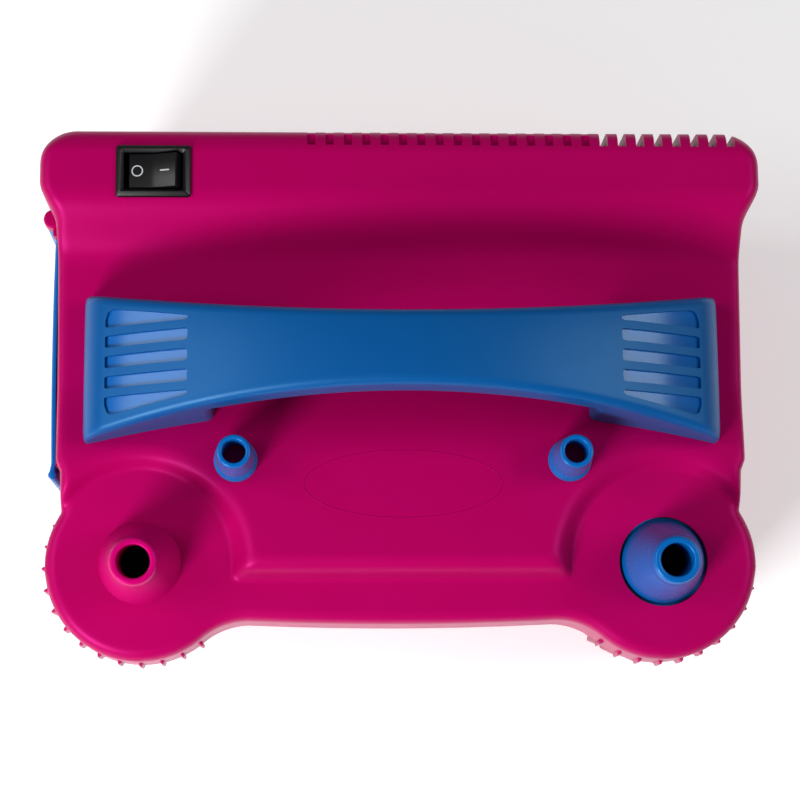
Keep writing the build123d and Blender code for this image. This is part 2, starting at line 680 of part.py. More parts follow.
def armature_core():
    """The slotted core on the shaft."""
    core = ring(STATOR_Y0, STATOR_Y1, ARMATURE_R, SHAFT_R)
    for number in range(12):
        slot = Pos(0, (STATOR_Y0 + STATOR_Y1) / 2, ARMATURE_R - 1.5) * Box(1.8, 60, 5)
        core -= Pos(0, 0, MOTOR_Z) * Rot(0, number * 30, 0) * slot
    return core


def armature_windings():
    """The copper end turns on both sides of the core."""
    front = ring(STATOR_Y0 - 5, STATOR_Y0, ARMATURE_R - 1.5, SHAFT_R)
    rear = ring(STATOR_Y1, STATOR_Y1 + 7, ARMATURE_R - 1.5, SHAFT_R)
    return group([front, rear])


def commutator():
    """The slit copper drum that the brushes ride on."""
    drum = ring(COMMUTATOR_Y0, COMMUTATOR_Y1, COMMUTATOR_R, SHAFT_R)
    for number in range(24):
        slit = Pos(0, (COMMUTATOR_Y0 + COMMUTATOR_Y1) / 2, COMMUTATOR_R) * Box(0.5, 30, 2)
        drum -= Pos(0, 0, MOTOR_Z) * Rot(0, number * 15, 0) * slit
    return drum


def bracket_bar(x0, x1, y0, y1, half_z):
    """A bar of a motor bracket, across the axis."""
    return box(x0, x1, y0, y1, MOTOR_Z - half_z, MOTOR_Z + half_z)


def front_bracket():
    """The motor's front frame: a ring with arms to the field core."""
    frame = ring(8.8, 11.2, BRACKET_R, BRACKET_R - 4)
    for side in (1, -1):
        frame += bracket_bar(*sorted((side * (STATOR_R + 0.2), side * (BRACKET_R - 0.6))), 8.8, 38, 5)
    return frame


def rear_bracket():
    """The motor's rear frame: a spider with the rear bearing's seat."""
    frame = ring(50.5, 53.5, BRACKET_R, BRACKET_R - 4)
    seat = ring(REAR_BEARING_Y - 3, REAR_BEARING_Y + 3, BEARING_R + 2.5, BEARING_R)
    for turn in (45, 135, 225, 315):
        arm = box(-2.5, 2.5, 53.5, 58.5, BEARING_R + 1, BRACKET_R - 1)
        frame += Pos(0, 0, MOTOR_Z) * Rot(0, turn, 0) * arm
    for side in (1, -1):
        frame += bracket_bar(*sorted((side * (STATOR_R + 0.2), side * (BRACKET_R - 0.6))), 38, 53.5, 5)
    return frame + seat


def brush_holders():
    """The two brass tubes that guide the brushes."""
    tubes = []
    for side in (1, -1):
        outer = bracket_bar(*sorted((side * 10.5, side * 22)), 46.5, 54.5, 5)
        inner = bracket_bar(*sorted((side * 9, side * 21.2)), 48, 53, 3)
        tubes.append(outer - inner)
    return group(tubes)


def brushes():
    """The two carbon brushes."""
    bars = [bracket_bar(*sorted((side * (COMMUTATOR_R + 0.3), side * 16)), 48, 53, 3) for side in (1, -1)]
    return group(bars)


def brush_springs():
    """The small coil springs behind the brushes."""
    coils = []
    for side in (1, -1):
        path = Helix(pitch=1.1, height=4.4, radius=1.7)
        coil = sweep(Plane(path @ 0, z_dir=path % 0) * Circle(0.25), path=path, is_frenet=True)
        coils.append(Pos(side * 16.3, 50.5, MOTOR_Z) * Rot(0, side * 90, 0) * coil)
    return group(coils)


def motor_mounts():
    """Rubber bands between the motor's brackets and the cradles."""
    bands = []
    for y in (10.0, 52.0):
        band = ring(y - 3, y + 3, BRACKET_R + 1.5, BRACKET_R + 0.05)
        bands.append(band - box(-40, 40, y - 4, y + 4, MOTOR_Z, 80))
    return group(bands)


def motor_bolts():
    """Two long bolts that pull the brackets together."""
    bolts = []
    for side in (1, -1):
        x = side * (BRACKET_R + 1.7)
        bolts.append(axle(8, 54, 1.2, x, MOTOR_Z + 9))
    return group(bolts)


def capacitor():
    """The interference capacitor by the rear wall."""
    return box(36, 54, 54, 61, FOOT_H + WALL + 0.1, 26)


def thermal_cutout():
    """The small thermal switch beside the motor."""
    return box(33, 41, 20, 34, FOOT_H + WALL + 0.1, 12)


def microswitch_body():
    """The snap switch's case, on top of the duct."""
    body = Pos(MICRO_X0 + MICRO_L / 2, MICRO_Y, MICRO_Z + MICRO_H / 2) * Box(MICRO_L, MICRO_W, MICRO_H)
    top = MICRO_Z + MICRO_H
    for side in (1, -1):
        body += Pos(LEVER_X, MICRO_Y + side * 2.7, top + 0.75) * Box(2.2, 1.0, 2.0)
    body -= lever_pin(LEVER_PIN_R + 0.1)
    return body - rod(MICRO_X0 + 8, MICRO_Y, MICRO_Z + 6, top + 1, 1.1)


def lever_pin(r):
    """The lever's pivot pin, between the two ears of the snap switch."""
    return axle(MICRO_Y - 3.2, MICRO_Y + 3.2, r, LEVER_X, MICRO_Z + MICRO_H + 0.8)


def microswitch_plunger():
    """The snap switch's button."""
    return rod(MICRO_X0 + 8, MICRO_Y, MICRO_Z + 7.5, MICRO_Z + MICRO_H + 2.5, 1.0)


def microswitch_lever():
    """The spring-steel lever between the button and the nozzle's tab."""
    strip = Pos(LEVER_L / 2, 0, 0) * Box(LEVER_L, 4, 0.5)
    strip = Pos(LEVER_X, MICRO_Y, MICRO_Z + MICRO_H + 0.8) * Rot(0, -LEVER_TURN, 0) * strip
    return strip + lever_pin(LEVER_PIN_R)


def microswitch_terminals():
    """Three blades beside the snap switch."""
    blades = []
    for x in (3.0, 10.0, 17.0):
        blades.append(Pos(MICRO_X0 + x, MICRO_Y + MICRO_W / 2 + 2.4, MICRO_Z + 2.3) * Box(2.4, 4.8, 0.6))
    return group(blades)


def intake_filter():
    """The open foam strip behind the vents."""
    return box(2, 84, 68, 71.5, 60, 82)


def lead(points, r=1.0):
    """One insulated wire with rounded corners."""
    path = FilletPolyline(*points, radius=3.5)
    return sweep(Plane(path @ 0, z_dir=path % 0) * Circle(r), path=path)


def terminal_block():
    """The block on the floor where a mains cord would be wired in."""
    block = box(-68, -56, 8, 24, FOOT_H + WALL + 0.1, 16)
    for y in (12.0, 20.0):
        block -= rod(-62, y, 12, 17, 2.0)
    return block


def wiring():
    """The leads from the terminal block through the switch and the motor to the snap switch."""
    runs = [
        [(-62, 16, 16.1), (-62, 16, 50), (-64, 54, 58), (-64, SWITCH_Y, 60), (-64, SWITCH_Y, 67.9)],
        [(-74, SWITCH_Y, 67.9), (-74, SWITCH_Y, 24), (-46, 58, 22), (-33, 45, 30), (-27.8, 43, 38)],
        [(27.8, 43, 38), (36, 38, 38), (58, 20, 45), (58, -18, 50), (51, -26, 53.6), (51, -33.6, 53.6)],
    ]
    return group([lead(run) for run in runs])


def build_all():
    """Make and write every node."""
    os.makedirs("parts", exist_ok=True)
    nodes = {
        "top_shell": top_shell(),
        "bottom_shell": bottom_shell(),
        "feet": feet(),
        "case_screws": case_screws(),
        "handle": handle(),
        "handle_underside": handle_underside(),
        "handle_screws": handle_screws(),
        "left_nozzle": nozzle(-1),
        "left_nozzle_seal": seal_ring(-1),
        "right_nozzle": nozzle(1),
        "right_nozzle_seal": seal_ring(1),
        "right_nozzle_spring": nozzle_spring(),
        "air_duct": duct(),
        "left_adaptor": adaptor(-1),
        "right_adaptor": adaptor(1),
        "switch_body": switch_body(),
        "switch_rocker": switch_rocker(),
        "switch_terminals": switch_terminals(),
        "cord_bay": cord_bay(),
        "cord_door": cord_door(),
        "door_pin": door_pin(),
        "cord_gland": cord_gland(),
        "fan_case": fan_case(),
        "fan_backplate": fan_backplate(),
        "impeller": impeller(),
        "impeller_nut": impeller_nut(),
        "motor_shaft": motor_shaft(),
        "front_bearing": bearing(FRONT_BEARING_Y),
        "rear_bearing": bearing(REAR_BEARING_Y),
        "stator_core": stator_core(),
        "field_coils": field_coils(),
        "armature_core": armature_core(),
        "armature_windings": armature_windings(),
        "commutator": commutator(),
        "front_bracket": front_bracket(),
        "rear_bracket": rear_bracket(),
        "brush_holders": brush_holders(),
        "brushes": brushes(),
        "brush_springs": brush_springs(),
        "motor_mounts": motor_mounts(),
        "motor_bolts": motor_bolts(),
        "capacitor": capacitor(),
        "thermal_cutout": thermal_cutout(),
        "microswitch_body": microswitch_body(),
        "microswitch_plunger": microswitch_plunger(),
        "microswitch_lever": microswitch_lever(),
        "microswitch_terminals": microswitch_terminals(),
        "intake_filter": intake_filter(),
        "terminal_block": terminal_block(),
        "wiring": wiring(),
    }
    for node, shape in nodes.items():
        save(shape, node)


build_all()
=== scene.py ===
"""Looks of an electric balloon pump with two nozzles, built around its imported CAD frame.

The case, handle, nozzles, door and switch are modelled here as meshes. The other CAD nodes stay and are
painted. Lengths inside the classes are millimetres in the frame's axes, and meshes are written in metres.
"""

import json
import logging
import math
from dataclasses import dataclass
from enum import Enum
from typing import Iterable, Sequence, Union

import bmesh
import bpy
from mathutils import Matrix, Vector


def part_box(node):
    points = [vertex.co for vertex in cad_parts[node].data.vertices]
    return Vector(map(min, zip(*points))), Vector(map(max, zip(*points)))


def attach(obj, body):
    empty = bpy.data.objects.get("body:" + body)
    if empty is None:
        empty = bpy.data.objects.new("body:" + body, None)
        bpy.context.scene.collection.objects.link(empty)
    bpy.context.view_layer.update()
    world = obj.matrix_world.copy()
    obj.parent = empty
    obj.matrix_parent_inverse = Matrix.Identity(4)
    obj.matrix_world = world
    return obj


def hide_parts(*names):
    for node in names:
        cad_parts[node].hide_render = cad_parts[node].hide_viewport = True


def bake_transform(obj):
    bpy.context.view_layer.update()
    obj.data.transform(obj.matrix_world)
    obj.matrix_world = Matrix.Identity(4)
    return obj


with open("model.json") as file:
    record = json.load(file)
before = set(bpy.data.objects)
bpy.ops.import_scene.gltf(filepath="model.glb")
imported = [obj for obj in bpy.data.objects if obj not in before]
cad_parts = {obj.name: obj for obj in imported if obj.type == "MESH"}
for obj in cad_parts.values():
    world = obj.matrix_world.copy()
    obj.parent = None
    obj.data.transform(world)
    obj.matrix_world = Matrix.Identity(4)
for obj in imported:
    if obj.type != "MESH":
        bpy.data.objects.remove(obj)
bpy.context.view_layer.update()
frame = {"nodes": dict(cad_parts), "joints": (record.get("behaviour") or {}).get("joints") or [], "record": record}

MM = 0.001
LOG = logging.getLogger("balloon_pump")
MIX_FIRST, MIX_SECOND, MIX_RESULT = 6, 7, 2  # the Mix node's colour sockets

Point = tuple[float, float, float]
Plan = tuple[float, float]


class Slot(Enum):
    """The record's material slots, given along with new pieces."""

    CASE = "case_pink"
    TRIM = "trim_blue"
    SWITCH = "switch_black"
    SPRING = "spring_steel"


class Body(Enum):
    """The frame's bodies that new pieces ride on."""

    CASE = "case"
    DOOR = "door"
    ROCKER = "rocker"
    PUSH = "push_nozzle"
    LEFT_ADAPTOR = "loose_left"
    RIGHT_ADAPTOR = "loose_right"


# ---------------------------------------------------------------- small maths


def smooth(t: float) -> float:
    """Ease from 0 to 1 with no slope at either end."""
    t = min(1.0, max(0.0, t))
    return t * t * (3.0 - 2.0 * t)


def smoother(t: float) -> float:
    """Ease from 0 to 1 with no slope and no bend at either end."""
    t = min(1.0, max(0.0, t))
    return t ** 3 * (t * (6.0 * t - 15.0) + 10.0)


def mix(a: float, b: float, t: float) -> float:
    """The value between a and b at share t."""
    return a + (b - a) * t


def soft_min(a: float, b: float, width: float) -> float:
    """The smaller of two distances, with the crease between them rounded.

    Args:
        a: the first distance.
        b: the second distance.
        width: how wide the rounding is.

    Returns:
        The blended distance.
    """
    h = max(width - abs(a - b), 0.0) / width
    return min(a, b) - h * h * width * 0.25


def node_box(node: str) -> tuple[Vector, Vector]:
    """A CAD node's lowest and highest corners, in millimetres."""
    low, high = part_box(node)
    return low / MM, high / MM


def joint_named(name: str) -> dict:
    """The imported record's joint of that name."""
    return next(joint for joint in frame["joints"] if joint["name"] == name)


# ---------------------------------------------------------------- shader maths


Operand = Union["Signal", float]


class Signal:
    """A shader socket that can be used in arithmetic."""

    def __init__(self, paint: "Paint", socket: bpy.types.NodeSocket) -> None:
        """Wrap an output socket of a material in the making."""
        self.paint = paint
        self.socket = socket

    def _math(self, operation: str, *operands: Operand) -> "Signal":
        """Add a Math node on operands in their order."""
        return self.paint.node("ShaderNodeMath", {"operation": operation}, dict(enumerate(operands)))

    def __add__(self, other: Operand) -> "Signal":
        """Sum."""
        return self._math("ADD", self, other)

    def __radd__(self, other: Operand) -> "Signal":
        """Sum, reflected."""
        return self._math("ADD", other, self)

    def __sub__(self, other: Operand) -> "Signal":
        """Difference."""
        return self._math("SUBTRACT", self, other)

    def __rsub__(self, other: Operand) -> "Signal":
        """Difference, reflected."""
        return self._math("SUBTRACT", other, self)

    def __mul__(self, other: Operand) -> "Signal":
        """Product."""
        return self._math("MULTIPLY", self, other)

    def __rmul__(self, other: Operand) -> "Signal":
        """Product, reflected."""
        return self._math("MULTIPLY", other, self)

    def clamped(self) -> "Signal":
        """The value held between 0 and 1."""
        return self.paint.node("ShaderNodeClamp", {}, {"Value": self})


Value = Union[Signal, float, Sequence[float]]


class Paint:
    """A material in the making, with its shader and the nodes that feed it."""

    def __init__(self, name: str) -> None:
        """Start a material with a bare Principled shader."""
        self.material = bpy.data.materials.new(name)
        self.material.use_nodes = True
        self.tree = self.material.node_tree
        self.shader = self.tree.nodes["Principled BSDF"]

    def node(self, kind: str, settings: dict | None = None, inputs: dict | None = None,
             output: int | str = 0) -> Signal:
        """Add a node.

        Args:
            kind: the node's type.
            settings: attributes to set first.
            inputs: values or links of its sockets, by name or index.
            output: the output socket to give back.

        Returns:
            The chosen output.
        """
        made = self.tree.nodes.new(kind)
        for key, value in (settings or {}).items():
            setattr(made, key, value)
        for key, value in (inputs or {}).items():
            self.feed(made.inputs[key], value)
        return Signal(self, made.outputs[output])

    def feed(self, socket: bpy.types.NodeSocket, value: Value) -> None:
        """Link a signal to a socket, or set its value."""
        if isinstance(value, Signal):
            self.tree.links.new(value.socket, socket)
        else:
            socket.default_value = value

    def set(self, **values: Value) -> "Paint":
        """Feed the shader's sockets; an underscore in a name stands for a space."""
        for name, value in values.items():
            self.feed(self.shader.inputs[name.replace("_", " ")], value)
        return self

    def noise(self, scale: float, detail: float = 2.0, stretch: Point = (1.0, 1.0, 1.0)) -> Signal:
        """Noise over the object's own coordinates.

        Args:
            scale: how many features fit in a metre.
            detail: the octaves.
            stretch: a scale for each axis.

        Returns:
            The noise, from 0 to 1.
        """
        place = self.node("ShaderNodeTexCoord", output="Object")
        held = self.node("ShaderNodeMapping", inputs={"Vector": place, "Scale": stretch})
        return self.node("ShaderNodeTexNoise", inputs={"Vector": held, "Scale": scale, "Detail": detail})

    def blend(self, share: Value, first: Point, second: Point) -> Signal:
        """Mix two colours by a share."""
        colours = {MIX_FIRST: (*first, 1.0), MIX_SECOND: (*second, 1.0)}
        return self.node("ShaderNodeMix", {"data_type": "RGBA"}, {"Factor": share, **colours}, MIX_RESULT)

    def bump(self, height: Signal, depth_mm: float) -> None:
        """Lead a height to the shader's normal."""
        inputs = {"Height": height, "Distance": depth_mm * MM, "Strength": 1.0}
        self.feed(self.shader.inputs["Normal"], self.node("ShaderNodeBump", inputs=inputs))


@dataclass(frozen=True)
class MouldedPlastic:
    """A moulded plastic with a fine skin and slow changes of tint."""

    name: str
    colour: Point
    deep: Point
    roughness: float
    grain_mm: float = 0.002
    grain_scale: float = 5200.0
    specular: float = 0.5
    tint: Point = (1.0, 1.0, 1.0)
    drift_scale: float = 14.0
    flow_scale: float = 60.0
    smudge_scale: float = 90.0

    def build(self) -> bpy.types.Material:
        """Make the material."""
        paint = Paint(self.name)
        drift = paint.noise(self.drift_scale, 3.0)
        flow = paint.noise(self.flow_scale, 2.0, (1.0, 0.25, 1.0))
        share = (drift * 0.7 + flow * 0.3 - 0.3).clamped()
        paint.set(Base_Color=paint.blend(share, self.deep, self.colour))
        grain = paint.noise(self.grain_scale, 2.0)
        smudge = paint.noise(self.smudge_scale, 4.0)
        paint.set(Roughness=(smudge * 0.10 + grain * 0.05 + (self.roughness - 0.075)).clamped())
        paint.set(Specular_IOR_Level=self.specular, Specular_Tint=(*self.tint, 1.0))
        paint.bump(grain + smudge * 0.6, self.grain_mm)
        return paint.material


@dataclass(frozen=True)
class BareMetal:
    """A metal with drawn or turned lines."""

    name: str
    colour: Point
    roughness: float
    stretch: Point = (1.0, 1.0, 12.0)
    line_scale: float = 900.0
    shadow: float = 0.72
    line_mm: float = 0.01

    def build(self) -> bpy.types.Material:
        """Make the material."""
        paint = Paint(self.name)
        lines = paint.noise(self.line_scale, 3.0, self.stretch)
        dull = tuple(self.shadow * c for c in self.colour)
        paint.set(Base_Color=paint.blend(lines, dull, self.colour), Metallic=1.0)
        paint.set(Roughness=(lines * 0.2 + (self.roughness - 0.1)).clamped())
        paint.bump(lines, self.line_mm)
        return paint.material


@dataclass(frozen=True)
class SoftRubber:
    """A matt rubber, foam or wire sleeve."""

    name: str
    colour: Point
    roughness: float = 0.8
    pore_scale: float = 1500.0
    pore_mm: float = 0.03

    def build(self) -> bpy.types.Material:
        """Make the material."""
        paint = Paint(self.name)
        pores = paint.noise(self.pore_scale, 4.0)
        pale = tuple(min(1.0, 1.6 * c + 0.01) for c in self.colour)
        paint.set(Base_Color=paint.blend(pores, self.colour, pale))
        paint.set(Roughness=(pores * 0.2 + (self.roughness - 0.1)).clamped())
        paint.bump(pores, self.pore_mm)
        return paint.material


class Finishes:
    """Every finish of the pump, made once."""

    def __init__(self) -> None:
        """Build the materials."""
        pink, sky = (1.0, 0.06, 0.55), (0.35, 0.72, 1.0)
        self.case = MouldedPlastic("moulded_magenta", (0.40, 0.0005, 0.095), (0.36, 0.0003, 0.082), 0.36,
                                   0.004, 3800.0, specular=0.35, tint=pink).build()
        self.cone = MouldedPlastic("cone_magenta", (0.50, 0.0008, 0.125), (0.46, 0.0005, 0.115), 0.32,
                                   0.002, 5200.0, specular=0.4, tint=pink).build()
        self.grip = MouldedPlastic("textured_blue", (0.0, 0.078, 0.28), (0.0, 0.068, 0.25), 0.38,
                                   0.010, 2600.0, specular=0.4, tint=sky).build()
        self.gloss = MouldedPlastic("polished_blue", (0.0, 0.10, 0.38), (0.0, 0.09, 0.35), 0.14,
                                    0.0003, 900.0, specular=0.5, tint=(0.6, 0.82, 1.0)).build()
        self.blue_cone = MouldedPlastic("satin_blue", (0.0, 0.115, 0.42), (0.0, 0.10, 0.38), 0.27,
                                        0.002, 5200.0, specular=0.5, tint=sky).build()
        self.black = MouldedPlastic("switch_black", (0.004, 0.004, 0.005), (0.002, 0.002, 0.003), 0.34,
                                    0.004, 2600.0, specular=0.4).build()
        self.mark = MouldedPlastic("switch_mark", (0.50, 0.52, 0.56), (0.45, 0.47, 0.50), 0.5).build()
        self.rubber = SoftRubber("foot_rubber", (0.012, 0.012, 0.012)).build()
        self.steel = BareMetal("plated_steel", (0.60, 0.60, 0.62), 0.32).build()
        self.spring = BareMetal("spring_wire", (0.52, 0.53, 0.55), 0.28).build()
        self.stack = BareMetal("stacked_sheet", (0.36, 0.36, 0.38), 0.42, (1.0, 30.0, 1.0)).build()
        self.copper = BareMetal("wound_copper", (0.70, 0.30, 0.12), 0.34, (1.0, 20.0, 1.0)).build()
        self.bronze = BareMetal("sintered_bronze", (0.55, 0.38, 0.18), 0.5, (1.0, 1.0, 1.0)).build()
        self.brass = BareMetal("stamped_brass", (0.76, 0.58, 0.26), 0.3).build()
        self.carbon = SoftRubber("brush_carbon", (0.03, 0.03, 0.03), 0.6, 2600.0, 0.01).build()
        self.natural = MouldedPlastic("natural_nylon", (0.78, 0.75, 0.66), (0.70, 0.67, 0.58), 0.45).build()
        self.grey = MouldedPlastic("duct_grey", (0.20, 0.205, 0.215), (0.17, 0.175, 0.18), 0.5).build()
        self.foam = SoftRubber("filter_foam", (0.05, 0.05, 0.055), 0.95, 700.0, 0.6).build()
        self.sleeve = SoftRubber("lead_sleeve", (0.03, 0.07, 0.25), 0.45, 300.0, 0.01).build()

    def by_slot(self) -> dict[str, bpy.types.Material]:
        """The finish that carried CAD nodes take, by the record's slot."""
        return {
            "case_pink": self.case, "trim_blue": self.grip, "switch_black": self.black,
            "rubber_black": self.rubber, "screw_steel": self.steel, "spring_steel": self.spring,
            "lamination_steel": self.stack, "winding_copper": self.copper, "bearing_bronze": self.bronze,
            "contact_brass": self.brass, "carbon": self.carbon, "bracket_white": self.natural,
            "duct_grey": self.grey, "filter_foam": self.foam, "lead_sleeve": self.sleeve,
        }


# ---------------------------------------------------------------- mesh building


class Mould:
    """Collects points and faces in millimetres and turns them into a piece."""

    def __init__(self) -> None:
        """Start empty."""
        self.points: list[Point] = []
        self.faces: list[tuple[int, ...]] = []

    def row(self, points: Iterable[Sequence[float]]) -> list[int]:
        """Add points and give their numbers."""
        start = len(self.points)
        self.points.extend(tuple(point) for point in points)
        return list(range(start, len(self.points)))

    def skin(self, rows: Sequence[list[int]]) -> None:
        """Join each closed row to the next, which has as many points, with quads."""
        for first, second in zip(rows, rows[1:]):
            for i in range(len(first)):
                j = (i + 1) % len(first)
                self.faces.append((first[i], first[j], second[j], second[i]))

    def solid(self, rows: Sequence[list[int]]) -> "Mould":
        """Join each row to the next and close both ends."""
        self.skin(rows)
        self.cap(rows[0])
        self.cap(rows[-1])
        return self

    def join(self, other: "Mould") -> None:
        """Take in another mould's points and faces."""
        start = len(self.points)
        self.points += other.points
        self.faces += [tuple(start + i for i in face) for face in other.faces]

    def cap(self, ring: list[int]) -> None:
        """Close a ring with one face."""
        self.faces.append(tuple(ring))

    def fan(self, ring: list[int], centre: Point) -> None:
        """Close a ring with triangles to a centre point."""
        hub = self.row([centre])[0]
        for i, first in enumerate(ring):
            self.faces.append((first, ring[(i + 1) % len(ring)], hub))

    def piece(self, name: str, material: bpy.types.Material, crease: float = 35.0) -> bpy.types.Object:
        """Write the mesh.

        Args:
            name: the piece's name.
            material: its finish.
            crease: edges sharper than this angle in degrees stay sharp.

        Returns:
            The new object, in the scene.
        """
        mesh = bpy.data.meshes.new(name)
        mesh.from_pydata([(x * MM, y * MM, z * MM) for x, y, z in self.points], [], self.faces)
        work = bmesh.new()
        work.from_mesh(mesh)
        bmesh.ops.remove_doubles(work, verts=work.verts, dist=1e-6)
        bmesh.ops.dissolve_degenerate(work, edges=work.edges, dist=1e-7)
        bmesh.ops.recalc_face_normals(work, faces=work.faces)
        work.to_mesh(mesh)
        work.free()
        mesh.materials.append(material)
        made = bpy.data.objects.new(name, mesh)
        bpy.context.scene.collection.objects.link(made)
        shade(made, crease)
        return made


def shade(piece: bpy.types.Object, crease: float) -> None:
    """Shade a piece smooth, with the edges over the crease angle kept sharp."""
    mesh = piece.data
    mesh.polygons.foreach_set("use_smooth", [True] * len(mesh.polygons))
    work = bmesh.new()
    work.from_mesh(mesh)
    limit = math.radians(crease)
    for edge in work.edges:
        edge.smooth = len(edge.link_faces) != 2 or edge.calc_face_angle(0.0) < limit
    work.to_mesh(mesh)
    work.free()


def apply_modifiers(piece: bpy.types.Object) -> None:
    """Bake a piece's modifiers into its mesh."""
    bpy.context.view_layer.update()
    graph = bpy.context.evaluated_depsgraph_get()
    mesh = bpy.data.meshes.new_from_object(piece.evaluated_get(graph))
    old = piece.data
    piece.modifiers.clear()
    piece.data = mesh
    bpy.data.meshes.remove(old)


def carve(piece: bpy.types.Object, tools: Sequence[bpy.types.Object]) -> None:
    """Cut tools out of a piece, and throw the tools away."""
    for tool in tools:
        cut = piece.modifiers.new("cut", "BOOLEAN")
        cut.operation = "DIFFERENCE"
        cut.solver = "MANIFOLD"
        cut.object = tool
    apply_modifiers(piece)
    for tool in tools:
        bpy.data.objects.remove(tool)


def ride(piece: bpy.types.Object, body: Body, slot: Slot, *nodes: str) -> bpy.types.Object:
    """Put a piece on its body and hide the CAD nodes that it stands for."""
    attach(piece, body.value)
    if nodes:
        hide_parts(*nodes)
    LOG.info("%s: %d faces on %s", piece.name, len(piece.data.polygons), body.value)
    return piece


def prism(plan: Sequence[Plan], low: float, high: float) -> Mould:
    """An upright prism on a plan."""
    mould = Mould()
    return mould.solid([mould.row((x, y, z) for x, y in plan) for z in (low, high)])


def circle(x: float, y: float, radius: float, count: int = 48) -> list[Plan]:
    """Points round a circle."""
    turns = [2 * math.pi * i / count for i in range(count)]
    return [(x + radius * math.cos(a), y + radius * math.sin(a)) for a in turns]


def rounded_box(x0: float, x1: float, y0: float, y1: float, radius: float, count: int = 6) -> list[Plan]:
    """Points round a rectangle with round corners."""
    points = []
    corners = [(x1 - radius, y1 - radius, 0), (x0 + radius, y1 - radius, 90),
               (x0 + radius, y0 + radius, 180), (x1 - radius, y0 + radius, 270)]
    for cx, cy, start in corners:
        for i in range(count + 1):
            a = math.radians(start + 90 * i / count)
            points.append((cx + radius * math.cos(a), cy + radius * math.sin(a)))
    return points


@dataclass
class Lathe:
    """A turned shape: a closed profile of (radius, height) round an axis."""

    profile: Sequence[Plan]
    steps: int = 96

    def mould(self, place: Matrix) -> Mould:
        """Turn the profile and set it in place.

        Args:
            place: the axis frame, in millimetres.

        Returns:
            The turned mesh.
        """
        mould = Mould()
        rows = []
        for i in range(self.steps):
            a = 2 * math.pi * i / self.steps
            across, along = math.cos(a), math.sin(a)
            rows.append(mould.row(place @ Vector((r * across, r * along, h)) for r, h in self.profile))
        mould.skin(rows + rows[:1])
        return mould


def arc(cx: float, cz: float, radius: float, start: float, end: float, count: int = 6) -> list[Plan]:
    """Points along an arc between two angles in degrees."""
    turns = [math.radians(mix(start, end, i / count)) for i in range(count + 1)]
    return [(cx + radius * math.cos(a), cz + radius * math.sin(a)) for a in turns]


# ---------------------------------------------------------------- the case


